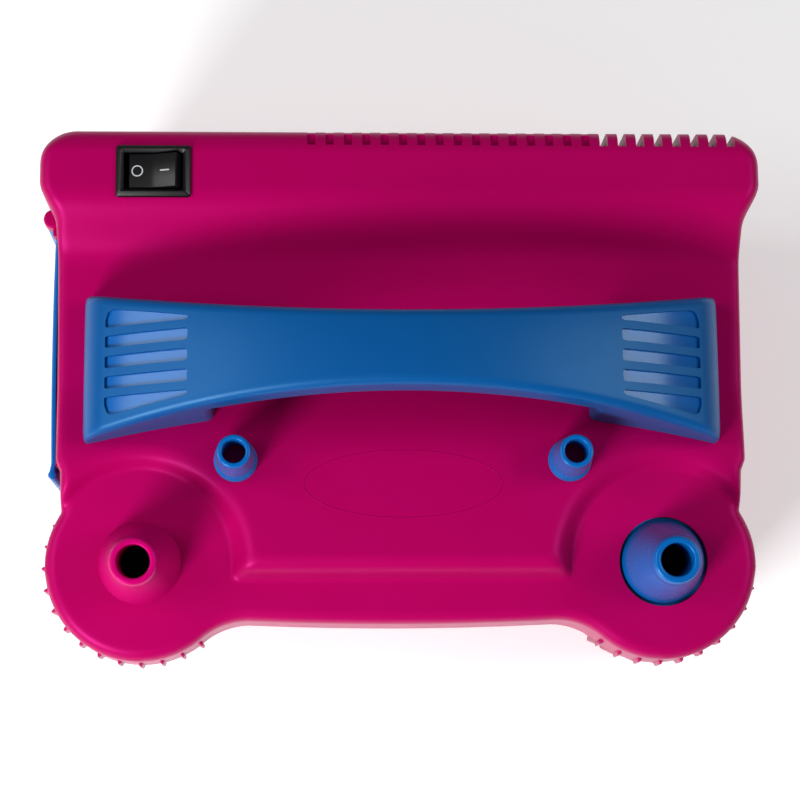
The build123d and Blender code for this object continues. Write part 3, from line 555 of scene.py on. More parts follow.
@dataclass
class CaseForm:
    """The outline and the deck heights that both shells, the ribs and the handle share."""

    shift_y: float = 0.0
    rear_y: float = 76.0
    rear_half: float = 101.3
    rear_corner: float = 10.0
    band_front_y: float = 61.0
    neck_rear_y: float = 49.0
    neck_half: float = 96.9
    neck_front_half: float = 95.9
    neck_front_y: float = -17.0
    step_half: float = 94.8
    step_y: float = -20.0
    lobe_x: float = 72.8
    lobe_y: float = -45.5
    lobe_r: float = 26.4
    front_y: float = -60.9
    front_bulge: float = 1.0
    front_fillet: float = 20.0
    hub: Plan = (0.0, 5.0)
    seam_z: float = 56.0
    band_z: float = 90.0
    valley_z: float = 79.0
    deck_z: float = 82.0
    lobe_z: float = 76.0
    nozzle_x: float = 72.8
    nozzle_y: float = -45.1
    lean: float = 5.0
    step_r: float = 25.2
    step_width: float = 7.4
    apron_y: float = -50.6
    step_blend: float = 3.0
    floor_rise: float = 2.2
    band_foot_y: float = 37.0
    band_run: float = 23.0
    front_crest_y: float = 6.0
    front_run: float = 24.0
    rear_fall: float = 1.6
    rear_fall_y: float = 69.0
    rear_fall_run: float = 7.0
    corner_steps: int = 16
    side_steps: int = 24
    lobe_steps: int = 60
    front_steps: int = 12
    count: int = 900

    def fit(self) -> None:
        """Find how far the drawing's middle lies behind the frame's."""
        low, high = node_box("top_shell")
        self.shift_y = high.y - self.rear_y
        self.seam_z = low.z

    def height(self, x: float, y: float) -> float:
        """The top surface's height at a drawing point.

        Args:
            x: across.
            y: towards the rear.

        Returns:
            The height in millimetres.
        """
        band = smoother((y - self.band_foot_y) / self.band_run)
        front = smooth((self.front_crest_y - y) / self.front_run)
        deck = mix(mix(self.valley_z, self.deck_z, front), self.band_z, band)
        deck -= self.rear_fall * smooth((y - self.rear_fall_y) / self.rear_fall_run)
        floor = self.lobe_z + math.tan(math.radians(self.lean)) * (y - self.nozzle_y)
        floor = min(floor, self.lobe_z + self.floor_rise)
        near = math.hypot(abs(x) - self.nozzle_x, y - self.nozzle_y) - self.step_r
        beyond = y - self.apron_y
        away = soft_min(near, max(beyond, near) if abs(x) > self.nozzle_x else beyond, self.step_blend)
        return mix(floor, deck, self.rise(away / self.step_width))

    @staticmethod
    def rise(t: float) -> float:
        """The step's side view: a crisp foot and a round crest."""
        t = min(1.0, max(0.0, t))
        return mix(smooth(t), 1.0 - (1.0 - t) ** 2.0, smooth(t / 0.5))

    def corner_points(self, inset: float) -> list[Plan]:
        """The right half of the outline, from the rear middle round to the front middle."""
        half = self.rear_half - inset
        neck = self.neck_half - inset
        step = self.step_half - inset
        rear = self.rear_y - inset
        corner = self.rear_corner - inset
        lobe = self.lobe_r - inset
        front = self.front_y + inset
        hollow = self.front_fillet + inset
        points: list[Plan] = [(0.0, rear)]
        points += arc(half - corner, rear - corner, corner, 90, 0, self.corner_steps)
        for i in range(self.side_steps + 1):
            t = i / self.side_steps
            points.append((mix(half, neck, smooth(t)), mix(self.band_front_y, self.neck_rear_y, t)))
        points.append((self.neck_front_half - inset, self.neck_front_y))
        points.append((step, self.step_y))
        flank = math.degrees(math.acos((step - self.lobe_x) / lobe))
        hollow_y = self.front_y - self.front_fillet
        drop = self.lobe_y - hollow_y
        reach = math.sqrt((self.lobe_r + self.front_fillet) ** 2 - drop ** 2)
        inner = math.degrees(math.atan2(-drop, -reach))
        points += arc(self.lobe_x, self.lobe_y, lobe, flank, inner, self.lobe_steps)
        points += arc(self.lobe_x - reach, hollow_y, hollow, inner + 180, 90, self.corner_steps)[1:]
        edge_x = points[-1][0]
        for i in range(1, self.front_steps + 1):
            x = edge_x * (1 - i / self.front_steps)
            points.append((x, front - self.front_bulge * (1 - (x / edge_x) ** 2)))
        return points

    def outline(self, inset: float) -> list[Plan]:
        """The whole outline, evenly stepped, drawn in by the inset."""
        right = self.corner_points(inset)
        loop = right + [(-x, y) for x, y in right[-2:0:-1]]
        lengths = [0.0]
        for (ax, ay), (bx, by) in zip(loop, loop[1:] + loop[:1]):
            lengths.append(lengths[-1] + math.hypot(bx - ax, by - ay))
        total = lengths[-1]
        points = []
        leg = 0
        for i in range(self.count):
            want = total * i / self.count
            while lengths[leg + 1] < want:
                leg += 1
            t = (want - lengths[leg]) / (lengths[leg + 1] - lengths[leg])
            (ax, ay), (bx, by) = loop[leg], loop[(leg + 1) % len(loop)]
            points.append((mix(ax, bx, t), mix(ay, by, t)))
        return points

    def drawn_in(self, plan: Sequence[Plan], share: float) -> list[Plan]:
        """A plan drawn in to a share of its way out from the hub."""
        return [(mix(self.hub[0], x, share), mix(self.hub[1], y, share)) for x, y in plan]

    def placed(self, x: float, y: float, z: float) -> Point:
        """A drawing point in the frame."""
        return (x, y + self.shift_y, z)

    def nozzle_frame(self, side: int) -> Matrix:
        """The axis frame of a nozzle, its Z up its axis from the lobe floor."""
        spot = Matrix.Translation(self.placed(side * self.nozzle_x, self.nozzle_y, self.lobe_z))
        return spot @ Matrix.Rotation(math.radians(self.lean), 4, "X")


@dataclass
class Comb:
    """The row of vents along the rear edge."""

    start_x: float = -25.4
    pitch: float = 5.16
    count: int = 24
    open_from: int = 16
    width: float = 2.3
    depth: float = 4.9
    floor_z: float = 80.0
    ledge_z: float = 88.2
    ledge_fall: float = 0.4
    groove: float = 0.6
    past: float = 3.0

    def tool(self, form: CaseForm) -> bpy.types.Object:
        """The cutters of every slot as one mesh."""
        mould = Mould()
        back, top = form.rear_y + self.past, form.band_z + self.past
        front, groove = form.rear_y - self.depth, form.rear_y - self.groove
        seam = form.seam_z - 1
        open_side = [(front, top), (front, seam), (back, seam), (back, top)]
        blind_side = [(front, top), (front, self.ledge_z), (groove, self.ledge_z - self.ledge_fall),
                      (groove, self.floor_z), (back, self.floor_z), (back, top)]
        for number in range(self.count):
            middle = self.start_x + number * self.pitch
            side = open_side if number >= self.open_from else blind_side
            ends = (middle - self.width / 2, middle + self.width / 2)
            mould.solid([mould.row(form.placed(x, y, z) for y, z in side) for x in ends])
        return mould.piece("comb_tool", bpy.data.materials[0])


@dataclass
class UpperShell:
    """The top half of the case: one smooth skin over band, valley, deck and lobes."""

    form: CaseForm
    finishes: Finishes
    wall: float = 2.5
    roof: float = 5.5
    rim_round: float = 3.4
    waist_round: float = 2.2
    waist_front_y: float = -24.0
    waist_rear_y: float = 44.0
    rings: int = 96
    spread: float = 0.85
    edge_steps: int = 8
    skirt_shares: tuple[float, ...] = (0.25, 0.6, 1.0)
    roof_shares: tuple[float, ...] = (1.0, 0.85, 0.7, 0.55, 0.4, 0.25, 0.1)
    badge_x: float = 0.0
    badge_y: float = -24.0
    badge_half: float = 27.5
    badge_depth: float = 9.4
    badge_steps: int = 160
    badge_section: tuple[Plan, ...] = ((-0.4, -0.3), (0.0, 0.14), (0.4, -0.3))
    push_hole_r: float = 12.4
    fixed_hole_r: float = 10.8
    hole_low: float = -12.0
    hole_high: float = 9.0
    switch_lip: float = 1.0

    def edge_radius(self, y: float) -> float:
        """How round the rim is at a depth: more on the lobes and the band than at the waist."""
        waist = smooth((y - self.waist_front_y) / 8.0) * (1.0 - smooth((y - self.waist_rear_y) / 10.0))
        return mix(self.rim_round, self.waist_round, waist)

    def build(self) -> bpy.types.Object:
        """Make the shell with its openings."""
        form = self.form
        mould = Mould()
        rim = form.outline(0.0)
        inner = form.outline(self.rim_round)
        inside = form.outline(self.wall)
        rows = []
        for ring in range(1, self.rings + 1):
            plan = form.drawn_in(inner, (ring / self.rings) ** self.spread)
            rows.append(mould.row(form.placed(x, y, form.height(x, y)) for x, y in plan))
        for step in range(1, self.edge_steps + 1):
            angle = math.pi / 2 * step / self.edge_steps
            row = []
            for (ix, iy), (ox, oy) in zip(inner, rim):
                radius = self.edge_radius(oy)
                share = 1 - radius / self.rim_round * (1 - math.sin(angle))
                x, y = mix(ix, ox, share), mix(iy, oy, share)
                row.append(form.placed(x, y, form.height(x, y) - radius * (1 - math.cos(angle))))
            rows.append(mould.row(row))
        for share in self.skirt_shares:
            row = []
            for x, y in rim:
                top = form.height(x, y) - self.edge_radius(y)
                row.append(form.placed(x, y, mix(top, form.seam_z, share)))
            rows.append(mould.row(row))
        rows.append(mould.row(form.placed(x, y, form.seam_z) for x, y in inside))
        for share in self.roof_shares:
            plan = form.drawn_in(inside, share)
            rows.append(mould.row(form.placed(x, y, form.height(x, y) - self.roof) for x, y in plan))
        mould.skin(rows)
        top = form.height(*form.hub)
        mould.fan(rows[0], form.placed(*form.hub, top))
        mould.fan(rows[-1], form.placed(*form.hub, top - self.roof))
        shell = mould.piece("top_shell_skin", self.finishes.case, 50.0)
        carve(shell, self.tools())
        shade(shell, 40.0)
        return ride(shell, Body.CASE, Slot.CASE, "top_shell")

    def badge(self) -> bpy.types.Object:
        """The faint raised oval line on the deck."""
        form = self.form
        mould = Mould()
        rows = []
        for step in range(self.badge_steps):
            a = math.tau * step / self.badge_steps
            ring = []
            for off, rise in self.badge_section:
                x = self.badge_x + (self.badge_half + off) * math.cos(a)
                y = self.badge_y + (self.badge_depth + off) * math.sin(a)
                ring.append(form.placed(x, y, form.height(x, y) + rise))
            rows.append(mould.row(ring))
        mould.skin(rows + rows[:1])
        return ride(mould.piece("badge_line", self.finishes.case, 60.0), Body.CASE, Slot.CASE)

    def tools(self) -> list[bpy.types.Object]:
        """Everything that is cut out of the shell."""
        form = self.form
        plain = bpy.data.materials[0]
        tools = [Comb().tool(form)]
        for side, radius in ((1, self.push_hole_r), (-1, self.fixed_hole_r)):
            bar = Lathe([(0.0, self.hole_low), (radius, self.hole_low),
                         (radius, self.hole_high), (0.0, self.hole_high)])
            tools.append(bar.mould(form.nozzle_frame(side)).piece("nozzle_tool", plain))
        low, high = node_box("switch_body")
        lip = self.switch_lip
        plan = rounded_box(low.x + lip, high.x - lip, low.y + lip, high.y - lip, 0.6)
        tools.append(prism(plan, form.lobe_z - 6.0, form.band_z + 10.0).piece("switch_tool", plain))
        return tools + bay_tools()


def bay_tools() -> list[bpy.types.Object]:
    """The cutters of the cord bay's window and of the hinge's notch."""
    low, high = node_box("cord_bay")
    pin_low, pin_high = node_box("door_pin")
    outside = low.x - 12
    frame_lip, slack, corner = 2.0, 0.05, 0.3
    window = prism(rounded_box(outside, high.x, low.y - slack, pin_low.y - frame_lip, corner),
                   low.z + frame_lip, high.z - frame_lip)
    notch = prism(rounded_box(outside, pin_high.x + 2.4, pin_low.y - 2.1, pin_high.y + frame_lip, corner),
                  pin_low.z - slack, pin_high.z + slack)
    plain = bpy.data.materials[0]
    return [window.piece("window_tool", plain), notch.piece("notch_tool", plain)]


@dataclass
class LowerShell:
    """The bottom half of the case, narrowing towards its floor."""

    form: CaseForm
    finishes: Finishes
    floor_z: float = 3.0
    wall: float = 2.5
    base_inset: float = 7.0
    seam_inset: float = 0.6
    base_round: float = 2.4
    base_steps: int = 6
    levels: tuple[float, ...] = (12.0, 24.0, 36.0, 46.0, 54.6, 55.2)
    line_z: float = 55.6
    line_depth: float = 0.5
    seam_gap: float = 0.05

    def inset_at(self, z: float) -> float:
        """How far the wall stands in at a level."""
        return mix(self.base_inset, self.seam_inset, (z - self.floor_z) / (self.form.seam_z - self.floor_z))

    def build(self) -> bpy.types.Object:
        """Make the shell with its recesses and its window."""
        form = self.form
        mould = Mould()
        rows = []

        def ring(inset: float, z: float, share: float = 1.0) -> None:
            """Add one level of the wall or the floor."""
            plan = form.drawn_in(form.outline(inset), share)
            rows.append(mould.row(form.placed(x, y, z) for x, y in plan))

        for share in (0.2, 0.6, 0.9):
            ring(self.base_inset + self.base_round, self.floor_z, share)
        for i in range(self.base_steps + 1):
            a = math.pi / 2 * i / self.base_steps
            z = self.floor_z + self.base_round * (1 - math.cos(a))
            ring(self.inset_at(z) + self.base_round * (1 - math.sin(a)), z)
        for z in self.levels:
            ring(self.inset_at(z), z)
        top = form.seam_z - self.seam_gap
        ring(self.seam_inset + self.line_depth, self.line_z)
        ring(self.seam_inset + self.line_depth, top)
        ring(self.seam_inset + self.wall, top)
        floor = self.floor_z + self.wall
        for z in (36.0, floor):
            ring(self.inset_at(z) + self.wall, z)
        ring(self.base_inset + self.wall, floor, 0.5)
        mould.skin(rows)
        mould.fan(rows[0], form.placed(*form.hub, self.floor_z))
        mould.fan(rows[-1], form.placed(*form.hub, floor))
        shell = mould.piece("bottom_shell_skin", self.finishes.case, 50.0)
        carve(shell, self.tools())
        shade(shell, 40.0)
        return ride(shell, Body.CASE, Slot.CASE, "bottom_shell")

    def tools(self) -> list[bpy.types.Object]:
        """The window, the screw wells and the foot recesses."""
        wells = Mould()
        for node, grow, top in (("case_screws", 0.3, 12.0), ("feet", 0.1, self.floor_z + 0.55)):
            for x, y, radius in islands(node):
                wells.join(prism(circle(x, y, radius + grow, 32), self.floor_z - 2, top))
        return bay_tools() + [wells.piece("well_tool", bpy.data.materials[0])]


def islands(node: str) -> list[Point]:
    """The centre and the widest radius of each upright solid of a CAD node, in millimetres."""
    work = bmesh.new()
    work.from_mesh(frame["nodes"][node].data)
    bmesh.ops.remove_doubles(work, verts=work.verts, dist=1e-7)
    seen: set[int] = set()
    found = []
    for vert in work.verts:
        if vert.index in seen:
            continue
        group, queue = [], [vert]
        seen.add(vert.index)
        while queue:
            here = queue.pop()
            group.append(here.co.copy())
            for edge in here.link_edges:
                there = edge.other_vert(here)
                if there.index not in seen:
                    seen.add(there.index)
                    queue.append(there)
        xs = [p.x / MM for p in group]
        ys = [p.y / MM for p in group]
        found.append(((min(xs) + max(xs)) / 2, (min(ys) + max(ys)) / 2, (max(xs) - min(xs)) / 2))
    work.free()
    return found


@dataclass
class LobeRibs:
    """The upright ribs round both lobes, from under the rim down the tapering wall."""

    form: CaseForm
    lower: LowerShell
    finishes: Finishes
    count: int = 28
    number: int = 13
    first: float = 26.0
    proud: float = 1.1
    flank_proud: float = 2.1
    width: float = 1.5
    top_z: float = 66.0
    foot_z: float = 6.0
    root: float = 0.5
    arc_steps: int = 6

    def build(self) -> bpy.types.Object:
        """Make every rib as a half-round bar with a domed top."""
        form = self.form
        mould = Mould()
        for side in (1, -1):
            for index in range(self.number):
                angle = math.radians(self.first - index * 360.0 / self.count)
                out = Vector((side * math.cos(angle), math.sin(angle), 0))
                across = Vector((-out.y, out.x, 0))
                centre = Vector((side * form.lobe_x, form.lobe_y, 0))
                proud = mix(self.flank_proud, self.proud, smooth(-out.y))
                rows = []
                levels = [(self.top_z, 0.05), (self.top_z - 0.35, 0.6), (self.top_z - 1.0, 0.92),
                          (self.top_z - 1.8, 1.0), (form.seam_z + 0.1, 1.0), (form.seam_z - 0.4, 1.0),
                          (30.0, 1.0), (self.foot_z + 0.5, 1.0), (self.foot_z, 0.3)]
                for z, full in levels:
                    wall = form.lobe_r - (self.lower.inset_at(z) if z < form.seam_z else 0.0)
                    ring = []
                    for step in range(self.arc_steps + 1):
                        a = math.pi * step / self.arc_steps
                        reach = wall - self.root + (self.root + proud) * full * math.sin(a)
                        aside = self.width / 2 * math.cos(a) * max(full, 0.4)
                        point = centre + out * reach + across * aside
                        ring.append(form.placed(point.x, point.y, z))
                    rows.append(mould.row(ring))
                mould.solid(rows)
        ribs = mould.piece("lobe_ribs", self.finishes.case, 60.0)
        return ride(ribs, Body.CASE, Slot.CASE)


# ---------------------------------------------------------------- the handle


@dataclass
class Handle:
    """The arched and waisted handle, with grooves and their polished floors at both ends."""

    form: CaseForm
    finishes: Finishes
    half: float = 88.0
    middle_y: float = 7.6
    bow: float = 0.8
    mid_half: float = 10.4
    end_half: float = 20.5
    mid_z: float = 114.99
    end_z: float = 91.0
    grip_half: float = 50.0
    leg_half: float = 52.4
    leg_round: float = 2.0
    grip_mid_z: float = 104.0
    grip_end_z: float = 98.0
    foot_z: float = 76.5
    corner: float = 1.2
    end_round: float = 6.0
    edge: float = 3.0
    sections: int = 200
    grooves: int = 5
    groove_pitch: float = 5.65
    groove_half: float = 1.7
    groove_in_x: float = 58.7
    groove_out_x: float = 81.6
    groove_depth: float = 1.2
    groove_steps: int = 32
    panel_in: float = 10.9
    panel_flare: float = 0.181
    panel_round: float = 3.0
    nib: float = 0.5
    draft: float = 0.15
    crown: float = 0.35
    lower_lip: float = 0.9
    leg_inset: float = 0.8
    leg_steps: tuple[float, ...] = (-0.02, 0.0, 0.25, 0.6, 1.1, 1.6, 2.0)

    @staticmethod
    def arch(x: float, mid: float, end: float, half: float) -> float:
        """Height of a circular arch at x."""
        rise = mid - end
        radius = (half * half + rise * rise) / (2 * rise)
        return mid - radius + math.sqrt(max(radius * radius - x * x, 0.0))

    @staticmethod
    def loss(over: float, radius: float) -> float:
        """How far a quarter-round corner has fallen back at a distance past its start."""
        return radius - math.sqrt(max(radius ** 2 - max(over, 0.0) ** 2, 0.0))

    def top(self, x: float) -> float:
        """The arched top, rounded down at the ends."""
        return self.arch(x, self.mid_z, self.end_z, self.half) \
            - 0.8 * self.loss(abs(x) - self.half + self.end_round, self.end_round)

    def half_depth(self, x: float) -> float:
        """Half the handle's depth at x."""
        wide = self.end_half - self.mid_half
        radius = (self.half ** 2 + wide ** 2) / (2 * wide)
        return self.mid_half + radius - math.sqrt(radius ** 2 - x * x)

    def section(self, x: float) -> list[Point]:
        """One cut across the handle, as a closed loop from the front foot over the top."""
        half = self.half_depth(x) - self.loss(abs(x) - self.half + self.corner, self.corner)
        top = self.top(x)
        edge = self.edge
        joint = self.arch(min(abs(x), self.grip_half), self.grip_mid_z, self.grip_end_z, self.grip_half)
        inward = self.leg_half - abs(x)
        joint = min(joint, top - edge - 1.5)
        if inward > 0:
            foot, leg, lip = joint - 0.02, half - self.leg_inset, self.lower_lip
        else:
            foot, leg, lip = self.foot_z, half - self.loss(self.leg_round + inward, self.leg_round), 0.05
        side, side_top = half - self.draft, top - edge
        ring = [(leg, foot), (leg, joint), (half, joint + lip),
                (half, mix(joint + self.lower_lip, side_top, 0.6)), (side, side_top)]
        ring += [(side - edge + edge * math.cos(a), side_top + (edge - self.crown) * math.sin(a))
                 for a in (math.radians(d) for d in (15, 30, 45, 60, 75, 90))]
        flat = half - edge - self.draft
        ring += [(flat * 0.66, top - 0.12), (flat * 0.33, top - 0.03)]
        loop = [(-v, z) for v, z in ring] + [(0.0, top)] + [(v, z) for v, z in reversed(ring)]
        return [self.form.placed(x, self.centre(x) + v, z) for v, z in loop]

    def centre(self, x: float) -> float:
        """The bowed middle line's depth at x."""
        return self.middle_y + self.bow * (1 - (x / self.half) ** 2)

    def build(self) -> bpy.types.Object:
        """Make the handle with its grooves."""
        mould = Mould()
        turns = [math.pi / 2 * (2 * i / self.sections - 1) for i in range(self.sections + 1)]
        stations = [self.half * math.sin(turn) for turn in turns]
        stations += [side * (self.leg_half + step) for step in self.leg_steps for side in (1, -1)]
        mould.solid([mould.row(self.section(x)) for x in sorted(stations)])
        body = mould.piece("handle_cover", self.finishes.grip, 40.0)
        places = [(side, number) for side in (1, -1) for number in range(self.grooves)]
        carve(body, [self.groove(side, number, self.groove_depth, -6.0, 0.0) for side, number in places])
        shade(body, 32.0)
        ride(body, Body.CASE, Slot.TRIM, "handle", "handle_underside")
        for side, number in places:
            floor = self.groove(side, number, self.groove_depth + 0.2, self.groove_depth - 0.1, 0.02)
            floor.name = f"groove_floor_{'right' if side > 0 else 'left'}_{number + 1}"
            ride(floor, Body.CASE, Slot.TRIM)
        return body

    def groove(self, side: int, number: int, low: float, high: float, shrink: float) -> bpy.types.Object:
        """The solid of one groove, following the arch inside the flared panel.

        Args:
            side: 1 for the right end, -1 for the left.
            number: which groove, from the front.
            low: how deep its floor lies.
            high: how deep its upper face lies.
            shrink: how much smaller it is all round.

        Returns:
            The solid as an object.
        """
        mould = Mould()
        rows = []
        last = (self.grooves - 1) / 2
        row = number - last
        sign = 1 if row > 0 else -1
        for step in range(self.groove_steps + 1):
            t = step / self.groove_steps
            reach = mix(self.groove_in_x + shrink, self.groove_out_x - shrink, t)
            near = row * self.groove_pitch - self.groove_half
            far = row * self.groove_pitch + self.groove_half
            if abs(row) == last:
                rim = self.panel_in + self.panel_flare * (reach - self.groove_in_x)
                rim -= self.loss(reach - self.groove_out_x + self.panel_round, self.panel_round)
                near, far = sorted((sign * rim, row * self.groove_pitch - sign * self.groove_half))
            nib = self.loss(self.nib - min(reach - self.groove_in_x, self.groove_out_x - reach), self.nib)
            near, far = near + shrink + nib * 0.6, far - shrink - nib * 0.6
            base, middle = self.top(reach), self.centre(reach)
            ring = [(near, base - low), (far, base - low), (far, base - high), (near, base - high)]
            rows.append(mould.row(self.form.placed(side * reach, middle + v, z) for v, z in ring))
        mould.solid(rows)
        return mould.piece("groove_tool", self.finishes.gloss, 40.0)


# ---------------------------------------------------------------- nozzles and adaptors


@dataclass
class Nozzle:
    """A main nozzle: a cone with a thick round lip, a flange and a stem."""

    form: CaseForm
    base_r: float = 11.5
    tip_r: float = 6.3
    height: float = 24.0
    bore_r: float = 4.5
    stem_bore_r: float = 6.9
    stem_r: float = 8.5
    stem_depth: float = 22.0
    flange_r: float = 14.5
    flange_low: float = -4.6
    flange_high: float = -2.7
    foot_draft: float = 0.15
    lip: float = 0.85
    inner_lip: float = 0.55
    lip_depth: float = 2.6

    def profile(self, gap: float) -> list[Plan]:
        """The closed profile, from the stem's foot up the outside and down the bore."""
        neck_h = self.height - self.lip_depth
        neck_r = mix(self.base_r, self.tip_r, neck_h / self.height)
        under, over = self.flange_low - gap, self.flange_high - gap
        draft = self.foot_draft
        points = [(self.stem_bore_r, -self.stem_depth), (self.stem_r, -self.stem_depth), (self.stem_r, under),
                  (self.flange_r, under), (self.flange_r, over), (self.base_r, over),
                  (self.base_r, -0.4), (self.base_r - draft, 0.2)]
        points += [(mix(self.base_r, neck_r, t) - draft * (1 - t), t * neck_h)
                   for t in (0.15, 0.35, 0.55, 0.75, 0.93)]
        points += [(neck_r + 0.02, neck_h - 0.2), (neck_r + 0.12, neck_h + 0.5)]
        points += arc(self.tip_r - self.lip + 0.1, self.height - self.lip, self.lip, 10, 90, 6)
        inner = self.inner_lip
        points += arc(self.bore_r + inner, self.height - inner, inner, 90, 180, 4)
        points += [(self.bore_r, self.height - 6), (self.bore_r, self.height - 14),
                   (self.stem_bore_r, self.height - 15)]
        return points

    def build(self, side: int, name: str, material: bpy.types.Material, body: Body, slot: Slot,
              node: str) -> bpy.types.Object:
        """Turn the nozzle on its axis.

        Args:
            side: 1 for the right nozzle, -1 for the left.
            name: the piece's name.
            material: its finish.
            body: the body that it rides on.
            slot: the record's slot; not used.
            node: the CAD node that it stands for.

        Returns:
            The piece.
        """
        gap = 0.3 if body is Body.PUSH else 0.05
        mould = Lathe(self.profile(gap), 112).mould(self.form.nozzle_frame(side))
        return ride(mould.piece(name, material, 32.0), body, slot, node)


@dataclass
class PushSpring:
    """The coil spring under the push nozzle."""

    form: CaseForm
    finishes: Finishes
    radius: float = 10.2
    wire: float = 0.6
    low: float = -13.3
    high: float = -5.5
    turns: int = 3
    turn_steps: int = 48
    wire_steps: int = 10

    def build(self) -> bpy.types.Object:
        """Wind the spring between the case's tube and the nozzle's flange."""
        place = self.form.nozzle_frame(1)
        mould = Mould()
        rows = []
        steps = self.turn_steps * self.turns
        around = [math.tau * i / self.wire_steps for i in range(self.wire_steps)]
        for step in range(steps + 1):
            turn = math.tau * self.turns * step / steps
            out = Vector((math.cos(turn), math.sin(turn), 0))
            centre = out * self.radius + Vector((0, 0, mix(self.low, self.high, step / steps)))
            ring = [centre + (out * math.cos(b) + Vector((0, 0, math.sin(b)))) * self.wire for b in around]
            rows.append(mould.row(place @ point for point in ring))
        mould.solid(rows)
        spring = mould.piece("nozzle_spring", self.finishes.spring, 60.0)
        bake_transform(spring)
        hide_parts("right_nozzle_spring")
        LOG.info("%s: %d faces between case and push_nozzle", spring.name, len(spring.data.polygons))
        return spring


@dataclass
class Adaptor:
    """A slim adaptor on its peg: a stepped cone with fine rings near its foot."""

    finishes: Finishes
    tip_r: float = 4.5
    bore_r: float = 3.2
    socket_r: float = 4.3
    socket_h: float = 6.6
    ring_levels: tuple[float, ...] = (2.1, 3.0, 3.9, 4.8)
    ring_proud: float = 0.16
    lip: float = 0.6
    inner_lip: float = 0.4
    peg_r: float = 4.0
    peg_h: float = 6.0
    peg_root: float = -1.5
    peg_round: float = 0.5

    def profile(self, height: float, base_r: float) -> list[Plan]:
        """The closed profile from the foot up."""
        tip_r, side_r = self.tip_r, base_r - 0.2
        points = [(self.socket_r, 0.0), (base_r - 0.4, 0.0), (base_r, 0.4), (base_r, 1.2),
                  (base_r - 0.25, 1.5)]
        for level in self.ring_levels:
            radius = mix(side_r, tip_r + 0.3, level / height)
            proud = radius + self.ring_proud
            points += [(radius, level), (proud, level + 0.25), (proud, level + 0.5),
                       (radius - 0.02, level + 0.7)]
        points += [(mix(side_r, tip_r + 0.25, 0.42), height * 0.42), (tip_r + 0.45, height * 0.72),
                   (tip_r + 0.05, height * 0.9), (tip_r + 0.15, height - 1.0)]
        points += arc(tip_r - self.lip + 0.1, height - self.lip, self.lip, 20, 90, 5)
        inner = self.inner_lip
        points += arc(self.bore_r + inner, height - inner, inner, 90, 180, 3)
        points += [(self.bore_r, self.socket_h + 0.2), (self.socket_r, self.socket_h)]
        return points

    def build(self, node: str, name: str, body: Body) -> bpy.types.Object:
        """Turn an adaptor where its CAD node stands."""
        low, high = node_box(node)
        centre = (low + high) / 2
        place = Matrix.Translation((centre.x, centre.y, low.z))
        mould = Lathe(self.profile(high.z - low.z, (high.x - low.x) / 2), 80).mould(place)
        return ride(mould.piece(name, self.finishes.blue_cone, 32.0), body, Slot.TRIM, node)

    def peg(self, node: str, name: str) -> bpy.types.Object:
        """The deck's peg under an adaptor."""
        low, high = node_box(node)
        centre = (low + high) / 2
        place = Matrix.Translation((centre.x, centre.y, low.z - 0.3))
        shoulder = self.peg_r - self.peg_round, self.peg_h - self.peg_round
        profile = [(0.0, self.peg_root), (self.peg_r, self.peg_root), (self.peg_r, shoulder[1] - 0.1)]
        profile += arc(*shoulder, self.peg_round, 0, 90, 4) + [(0.0, self.peg_h)]
        mould = Lathe(profile, 48).mould(place)
        return ride(mould.piece(name, self.finishes.case, 40.0), Body.CASE, Slot.CASE)


# ---------------------------------------------------------------- switch


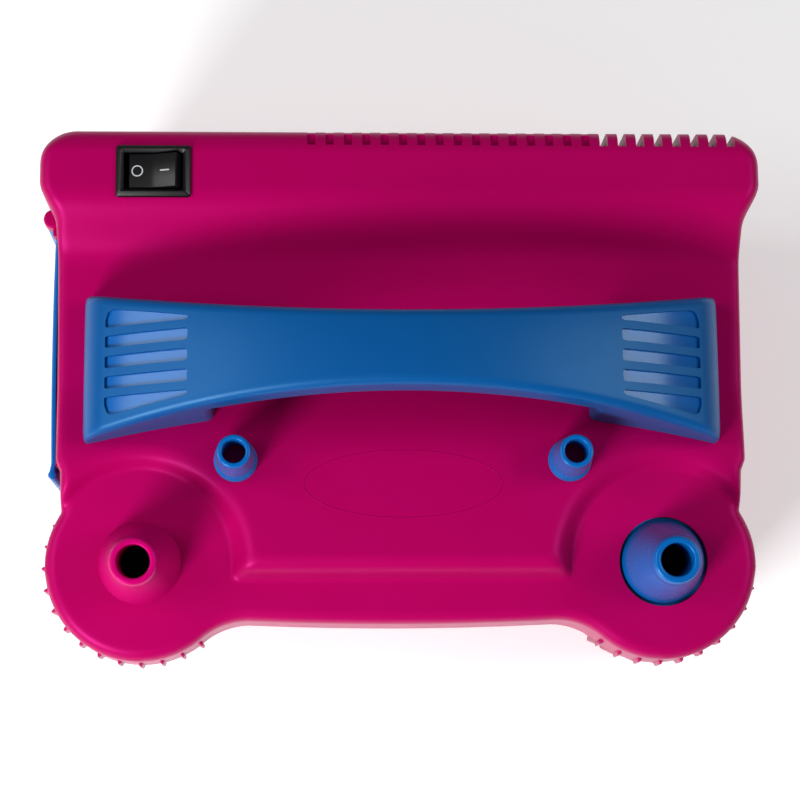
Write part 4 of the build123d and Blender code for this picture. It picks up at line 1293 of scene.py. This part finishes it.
@dataclass
class RockerSwitch:
    """The main switch: a bevelled bezel and a rocker with a ring and a bar."""

    finishes: Finishes
    rocker_l: float = 15.6
    rocker_w: float = 9.8
    gap: float = 0.4
    tilt: float = 10.0
    face_half: float = 6.5
    end_slope: float = 2.2
    end_slack: float = 0.2
    edge: float = 0.35
    face_z: float = 0.9
    dish: float = 0.7
    dish_power: float = 1.3
    ring_u: float = 4.35
    ring_seat_u: float = 4.3
    ring_in_r: float = 1.28
    ring_out_r: float = 1.62
    bar_u: float = 3.4
    bar_half: float = 1.35
    bar_wide: float = 0.19
    mark_low: float = -0.12
    mark_high: float = 0.03

    def build(self) -> None:
        """Make both pieces and the marks."""
        self.bezel()
        self.rocker()

    def bezel(self) -> None:
        """The frame with its sloping inner and outer bevels, and the housing under it."""
        low, high = node_box("switch_body")
        cx, cy = (low.x + high.x) / 2, (low.y + high.y) / 2
        hx, hy = (high.x - low.x) / 2, (high.y - low.y) / 2
        mx, my = self.rocker_l / 2 + self.gap, self.rocker_w / 2 + self.gap
        mould = Mould()
        rows = []
        rim = high.z
        levels = [(hx - 1.3, hy - 1.3, 1.2, low.z), (hx - 1.3, hy - 1.3, 1.2, rim - 1.7),
                  (hx - 0.05, hy - 0.05, 0.9, rim - 1.7), (hx, hy, 0.9, rim - 1.3),
                  (hx - 0.25, hy - 0.25, 0.8, rim - 0.75), (hx - 1.15, hy - 1.15, 0.6, rim - 0.08),
                  (hx - 1.35, hy - 1.35, 0.5, rim), (mx + 0.9, my + 0.9, 0.5, rim),
                  (mx + 0.7, my + 0.7, 0.5, rim - 0.1), (mx, my, 0.4, rim - 0.9), (mx, my, 0.4, rim - 12.0)]
        for half_x, half_y, corner, z in levels:
            plan = rounded_box(cx - half_x, cx + half_x, cy - half_y, cy + half_y, corner)
            rows.append(mould.row((x, y, z) for x, y in plan))
        mould.solid(rows)
        ride(mould.piece("switch_bezel", self.finishes.black, 24.0), Body.CASE, Slot.SWITCH, "switch_body")

    def rocker(self) -> None:
        """The rocker at rest, its ring end pressed, with dished faces and printed marks."""
        pivot = Vector(joint_named("rocker_hinge")["pos_m"]) / MM
        place = Matrix.Translation(pivot) @ Matrix.Rotation(math.radians(-self.tilt), 4, "Y")
        half, wide = self.rocker_l / 2 - self.end_slack, self.rocker_w / 2
        edge, bevel = self.edge, self.edge * 0.3
        mould = Mould()
        rows = []
        inner = [self.face_half * i / 10 for i in range(-10, 11)]
        outer = [self.face_half + 0.12, self.face_half + 0.3, half]
        for u in [-v for v in reversed(outer)] + inner + outer:
            top = self.face(u) - self.end_slope * max(0.0, abs(u) - self.face_half)
            low = -2.4 - 3.6 * (1 - min(1.0, max(0.0, (abs(u) - 3.0) / (half - 3.4))))
            near = [(wide, low), (wide, top - edge), (wide - bevel, top - bevel), (wide - edge, top)]
            ring = [(-v, w) for v, w in near] + [(0.0, top - 0.12)] + near[::-1]
            rows.append(mould.row(place @ Vector((u, v, w)) for v, w in ring))
        body = mould.solid(rows).piece("rocker", self.finishes.black, 30.0)
        ride(body, Body.ROCKER, Slot.SWITCH, "switch_rocker")
        self.marks(place)

    def face(self, u: float) -> float:
        """The dished face's height over the pivot at a distance along the rocker."""
        half = self.rocker_l / 2 - self.end_slack
        return self.face_z + self.dish * (abs(u) / half) ** self.dish_power

    def slope(self, u: float) -> float:
        """The dished face's slope in radians at a distance along the rocker."""
        half = self.rocker_l / 2 - self.end_slack
        return math.atan(self.dish * self.dish_power / half * (abs(u) / half) ** (self.dish_power - 1.0))

    def marks(self, place: Matrix) -> None:
        """The white ring on the off end and the white bar on the on end."""
        slope = self.slope(self.ring_seat_u)
        spot = place @ Matrix.Translation((-self.ring_u, 0, self.face(self.ring_seat_u) - 0.08))
        spot = spot @ Matrix.Rotation(slope, 4, "Y")
        ring = Lathe([(self.ring_in_r, self.mark_low), (self.ring_out_r, self.mark_low),
                      (self.ring_out_r, self.mark_high), (self.ring_in_r, self.mark_high)], 48)
        ride(ring.mould(spot).piece("off_ring", self.finishes.mark, 40.0), Body.ROCKER, Slot.SWITCH)
        spot = place @ Matrix.Translation((self.bar_u, 0, self.face(self.bar_u) - 0.1))
        spot = spot @ Matrix.Rotation(-slope, 4, "Y")
        plan = rounded_box(-self.bar_half, self.bar_half, -self.bar_wide, self.bar_wide, 0.12, 3)
        bar = prism(plan, self.mark_low, self.mark_high)
        bar.points = [tuple(spot @ Vector(point)) for point in bar.points]
        ride(bar.piece("on_bar", self.finishes.mark, 40.0), Body.ROCKER, Slot.SWITCH)


# ---------------------------------------------------------------- cord bay door


@dataclass
class CordDoor:
    """The bowed blue door with its knuckle and its finger bead."""

    finishes: Finishes
    thick: float = 1.4
    bulge: float = 0.4
    knuckle_r: float = 2.55
    bead_r: float = 1.15
    edge: float = 0.4
    face_x: float = 1.7
    front_gap: float = 4.4
    rear_gap: float = 4.2
    bead_x: float = 1.1
    bead_y: float = 3.2
    cap_r: float = 2.8
    cap_round: float = 0.7
    steps: int = 24

    def bowed(self, face: float, front: float, rear: float, forward: bool) -> list[Plan]:
        """One face of the plate, bowed outwards at its middle."""
        points = []
        for i in range(self.steps + 1):
            t = i / self.steps if forward else 1 - i / self.steps
            points.append((face - self.bulge * (1 - (2 * t - 1) ** 2), mix(front, rear, t)))
        return points

    def build(self) -> bpy.types.Object:
        """Make the door as one plate whose ends roll into the knuckle and the bead."""
        low, high = node_box("cord_door")
        pin = Vector(joint_named("door_hinge")["pos_m"]) / MM
        front, rear = low.y + self.front_gap, pin.y - self.rear_gap
        inner = pin.x + self.face_x
        plan = self.bowed(inner - self.thick, front, rear, True)
        plan += arc(pin.x, pin.y, self.knuckle_r, 240, -60, 20)
        plan += self.bowed(inner, front, rear, False)
        plan += arc(inner - self.bead_x, front - self.bead_y, self.bead_r, 50, -230, 14)
        edge = self.edge
        levels = [(low.z, edge), (low.z + 0.12, edge * 0.3), (low.z + edge, 0.0),
                  (high.z - edge, 0.0), (high.z - 0.12, edge * 0.3), (high.z, edge)]
        mould = Mould()
        mould.solid([mould.row((x, y, z) for x, y in self.shrink(plan, inset)) for z, inset in levels])
        door = mould.piece("door_flap", self.finishes.blue_cone, 40.0)
        return ride(door, Body.DOOR, Slot.TRIM, "cord_door")

    def cap(self) -> bpy.types.Object:
        """The rounded cap over the top end of the door's pin."""
        low, high = node_box("door_pin")
        centre = (low + high) / 2
        profile = [(0.0, -0.2), (self.cap_r, -0.2), (self.cap_r, 0.1)]
        profile += arc(self.cap_r - self.cap_round, 0.1, self.cap_round, 0, 90, 5) + [(0.0, 0.85)]
        mould = Lathe(profile, 48).mould(Matrix.Translation((centre.x, centre.y, high.z)))
        return ride(mould.piece("hinge_cap", self.finishes.case, 50.0), Body.CASE, Slot.CASE)

    @staticmethod
    def shrink(plan: Sequence[Plan], inset: float) -> list[Plan]:
        """Draw a closed plan in along its corner normals."""
        loop = list(plan)
        area = sum(a[0] * b[1] - b[0] * a[1] for a, b in zip(loop, loop[1:] + loop[:1]))
        turn = math.copysign(inset, area)
        points = []
        for i, here in enumerate(loop):
            along = Vector(loop[(i + 1) % len(loop)]) - Vector(loop[i - 1])
            along.normalize()
            points.append((here[0] - turn * along.y, here[1] + turn * along.x))
        return points


# ---------------------------------------------------------------- scene


@dataclass
class Studio:
    """The pale table, the lights and the camera over the pump."""

    lens_mm: float = 97.65
    sensor_mm: float = 36.0
    camera_mm: Point = (-26.3, -111.5, 676.1)
    look: Point = (0.0423, 0.18128, -0.98252)
    aim: Point = (0.0, 0.0, 0.06)
    room_light: float = 0.18
    table_half_mm: float = 3000.0
    table_glow: float = 0.26

    def build(self) -> None:
        """Make everything that isn't the object."""
        self.table()
        self.lights()
        self.camera()

    def table(self) -> None:
        """A wide matt sheet under the feet."""
        mould, half = Mould(), self.table_half_mm
        mould.cap(mould.row([(-half, -half, 0), (half, -half, 0), (half, half, 0), (-half, half, 0)]))
        paint = Paint("table_white")
        paint.set(Base_Color=paint.blend(paint.noise(6.0, 2.0), (0.90, 0.90, 0.90), (0.92, 0.92, 0.92)))
        paint.set(Roughness=0.8, Specular_IOR_Level=0.1)
        paint.set(Emission_Color=(1.0, 1.0, 1.0, 1.0), Emission_Strength=self.table_glow)
        mould.piece("table", paint.material)

    def lights(self) -> None:
        """A key from the front left, a wide box on each side and a dim white room."""
        self.softbox("key", (-0.39, -0.48, 0.46), 0.24, 5.4)
        self.softbox("left", (-0.74, 0.05, 0.80), 0.50, 3.6)
        self.softbox("right", (0.74, 0.05, 0.80), 0.50, 3.8)
        world = bpy.data.worlds.new("studio")
        world.use_nodes = True
        background = world.node_tree.nodes["Background"]
        background.inputs["Color"].default_value = (1.0, 1.0, 1.0, 1.0)
        background.inputs["Strength"].default_value = self.room_light
        bpy.context.scene.world = world
        bpy.context.scene.view_settings.view_transform = "Standard"

    def softbox(self, name: str, place: Point, side: float, power: float) -> None:
        """Hang one square light that faces the pump.

        Args:
            name: the light's name.
            place: where it hangs, in metres.
            side: its side in metres.
            power: its power in watts.
        """
        light = bpy.data.lights.new(name, "AREA")
        light.shape = "SQUARE"
        light.size, light.energy = side, power
        lamp = bpy.data.objects.new(name, light)
        lamp.location = place
        lamp.rotation_mode = "QUATERNION"
        lamp.rotation_quaternion = (Vector(self.aim) - Vector(place)).to_track_quat("-Z", "Y")
        bpy.context.scene.collection.objects.link(lamp)

    def camera(self) -> None:
        """A long lens nearly straight above, a little to the front and the left."""
        data = bpy.data.cameras.new("camera")
        data.sensor_width = self.sensor_mm
        data.lens = self.lens_mm
        data.clip_start, data.clip_end = 0.05, 50.0
        cam = bpy.data.objects.new("camera", data)
        look = Vector(self.look).normalized()
        right = Vector((1.0, 0.0, 0.0))
        right = (right - right.dot(look) * look).normalized()
        turn = Matrix((right, right.cross(look), -look)).transposed()
        cam.matrix_world = Matrix.Translation(Vector(self.camera_mm) * MM) @ turn.to_4x4()
        bpy.context.scene.collection.objects.link(cam)
        bpy.context.scene.camera = cam


def dress_frame(finishes: Finishes) -> None:
    """Give every CAD node its finish, shaded flat; those that a piece replaces don't show."""
    by_slot = finishes.by_slot()
    for part in frame["record"]["subparts"]:
        node = frame["nodes"][part["node"]]
        node.data.materials.clear()
        node.data.materials.append(by_slot[part["material_slot"]])
        node.data.polygons.foreach_set("use_smooth", [False] * len(node.data.polygons))


def main() -> None:
    """Build the pump around its frame, then the studio."""
    logging.basicConfig(level=logging.INFO, format="%(name)s %(message)s")
    finishes = Finishes()
    Studio().build()
    form = CaseForm()
    form.fit()
    upper = UpperShell(form, finishes)
    upper.build()
    upper.badge()
    lower = LowerShell(form, finishes)
    lower.build()
    LobeRibs(form, lower, finishes).build()
    Handle(form, finishes).build()
    nozzle = Nozzle(form)
    nozzle.build(-1, "fixed_cone", finishes.cone, Body.CASE, Slot.CASE, "left_nozzle")
    nozzle.build(1, "push_cone", finishes.blue_cone, Body.PUSH, Slot.TRIM, "right_nozzle")
    PushSpring(form, finishes).build()
    adaptor = Adaptor(finishes)
    for node, body in (("left_adaptor", Body.LEFT_ADAPTOR), ("right_adaptor", Body.RIGHT_ADAPTOR)):
        adaptor.build(node, node + "_cone", body)
        adaptor.peg(node, node + "_peg")
    RockerSwitch(finishes).build()
    door = CordDoor(finishes)
    door.build()
    door.cap()
    dress_frame(finishes)


if __name__ == "__main__":
    main()
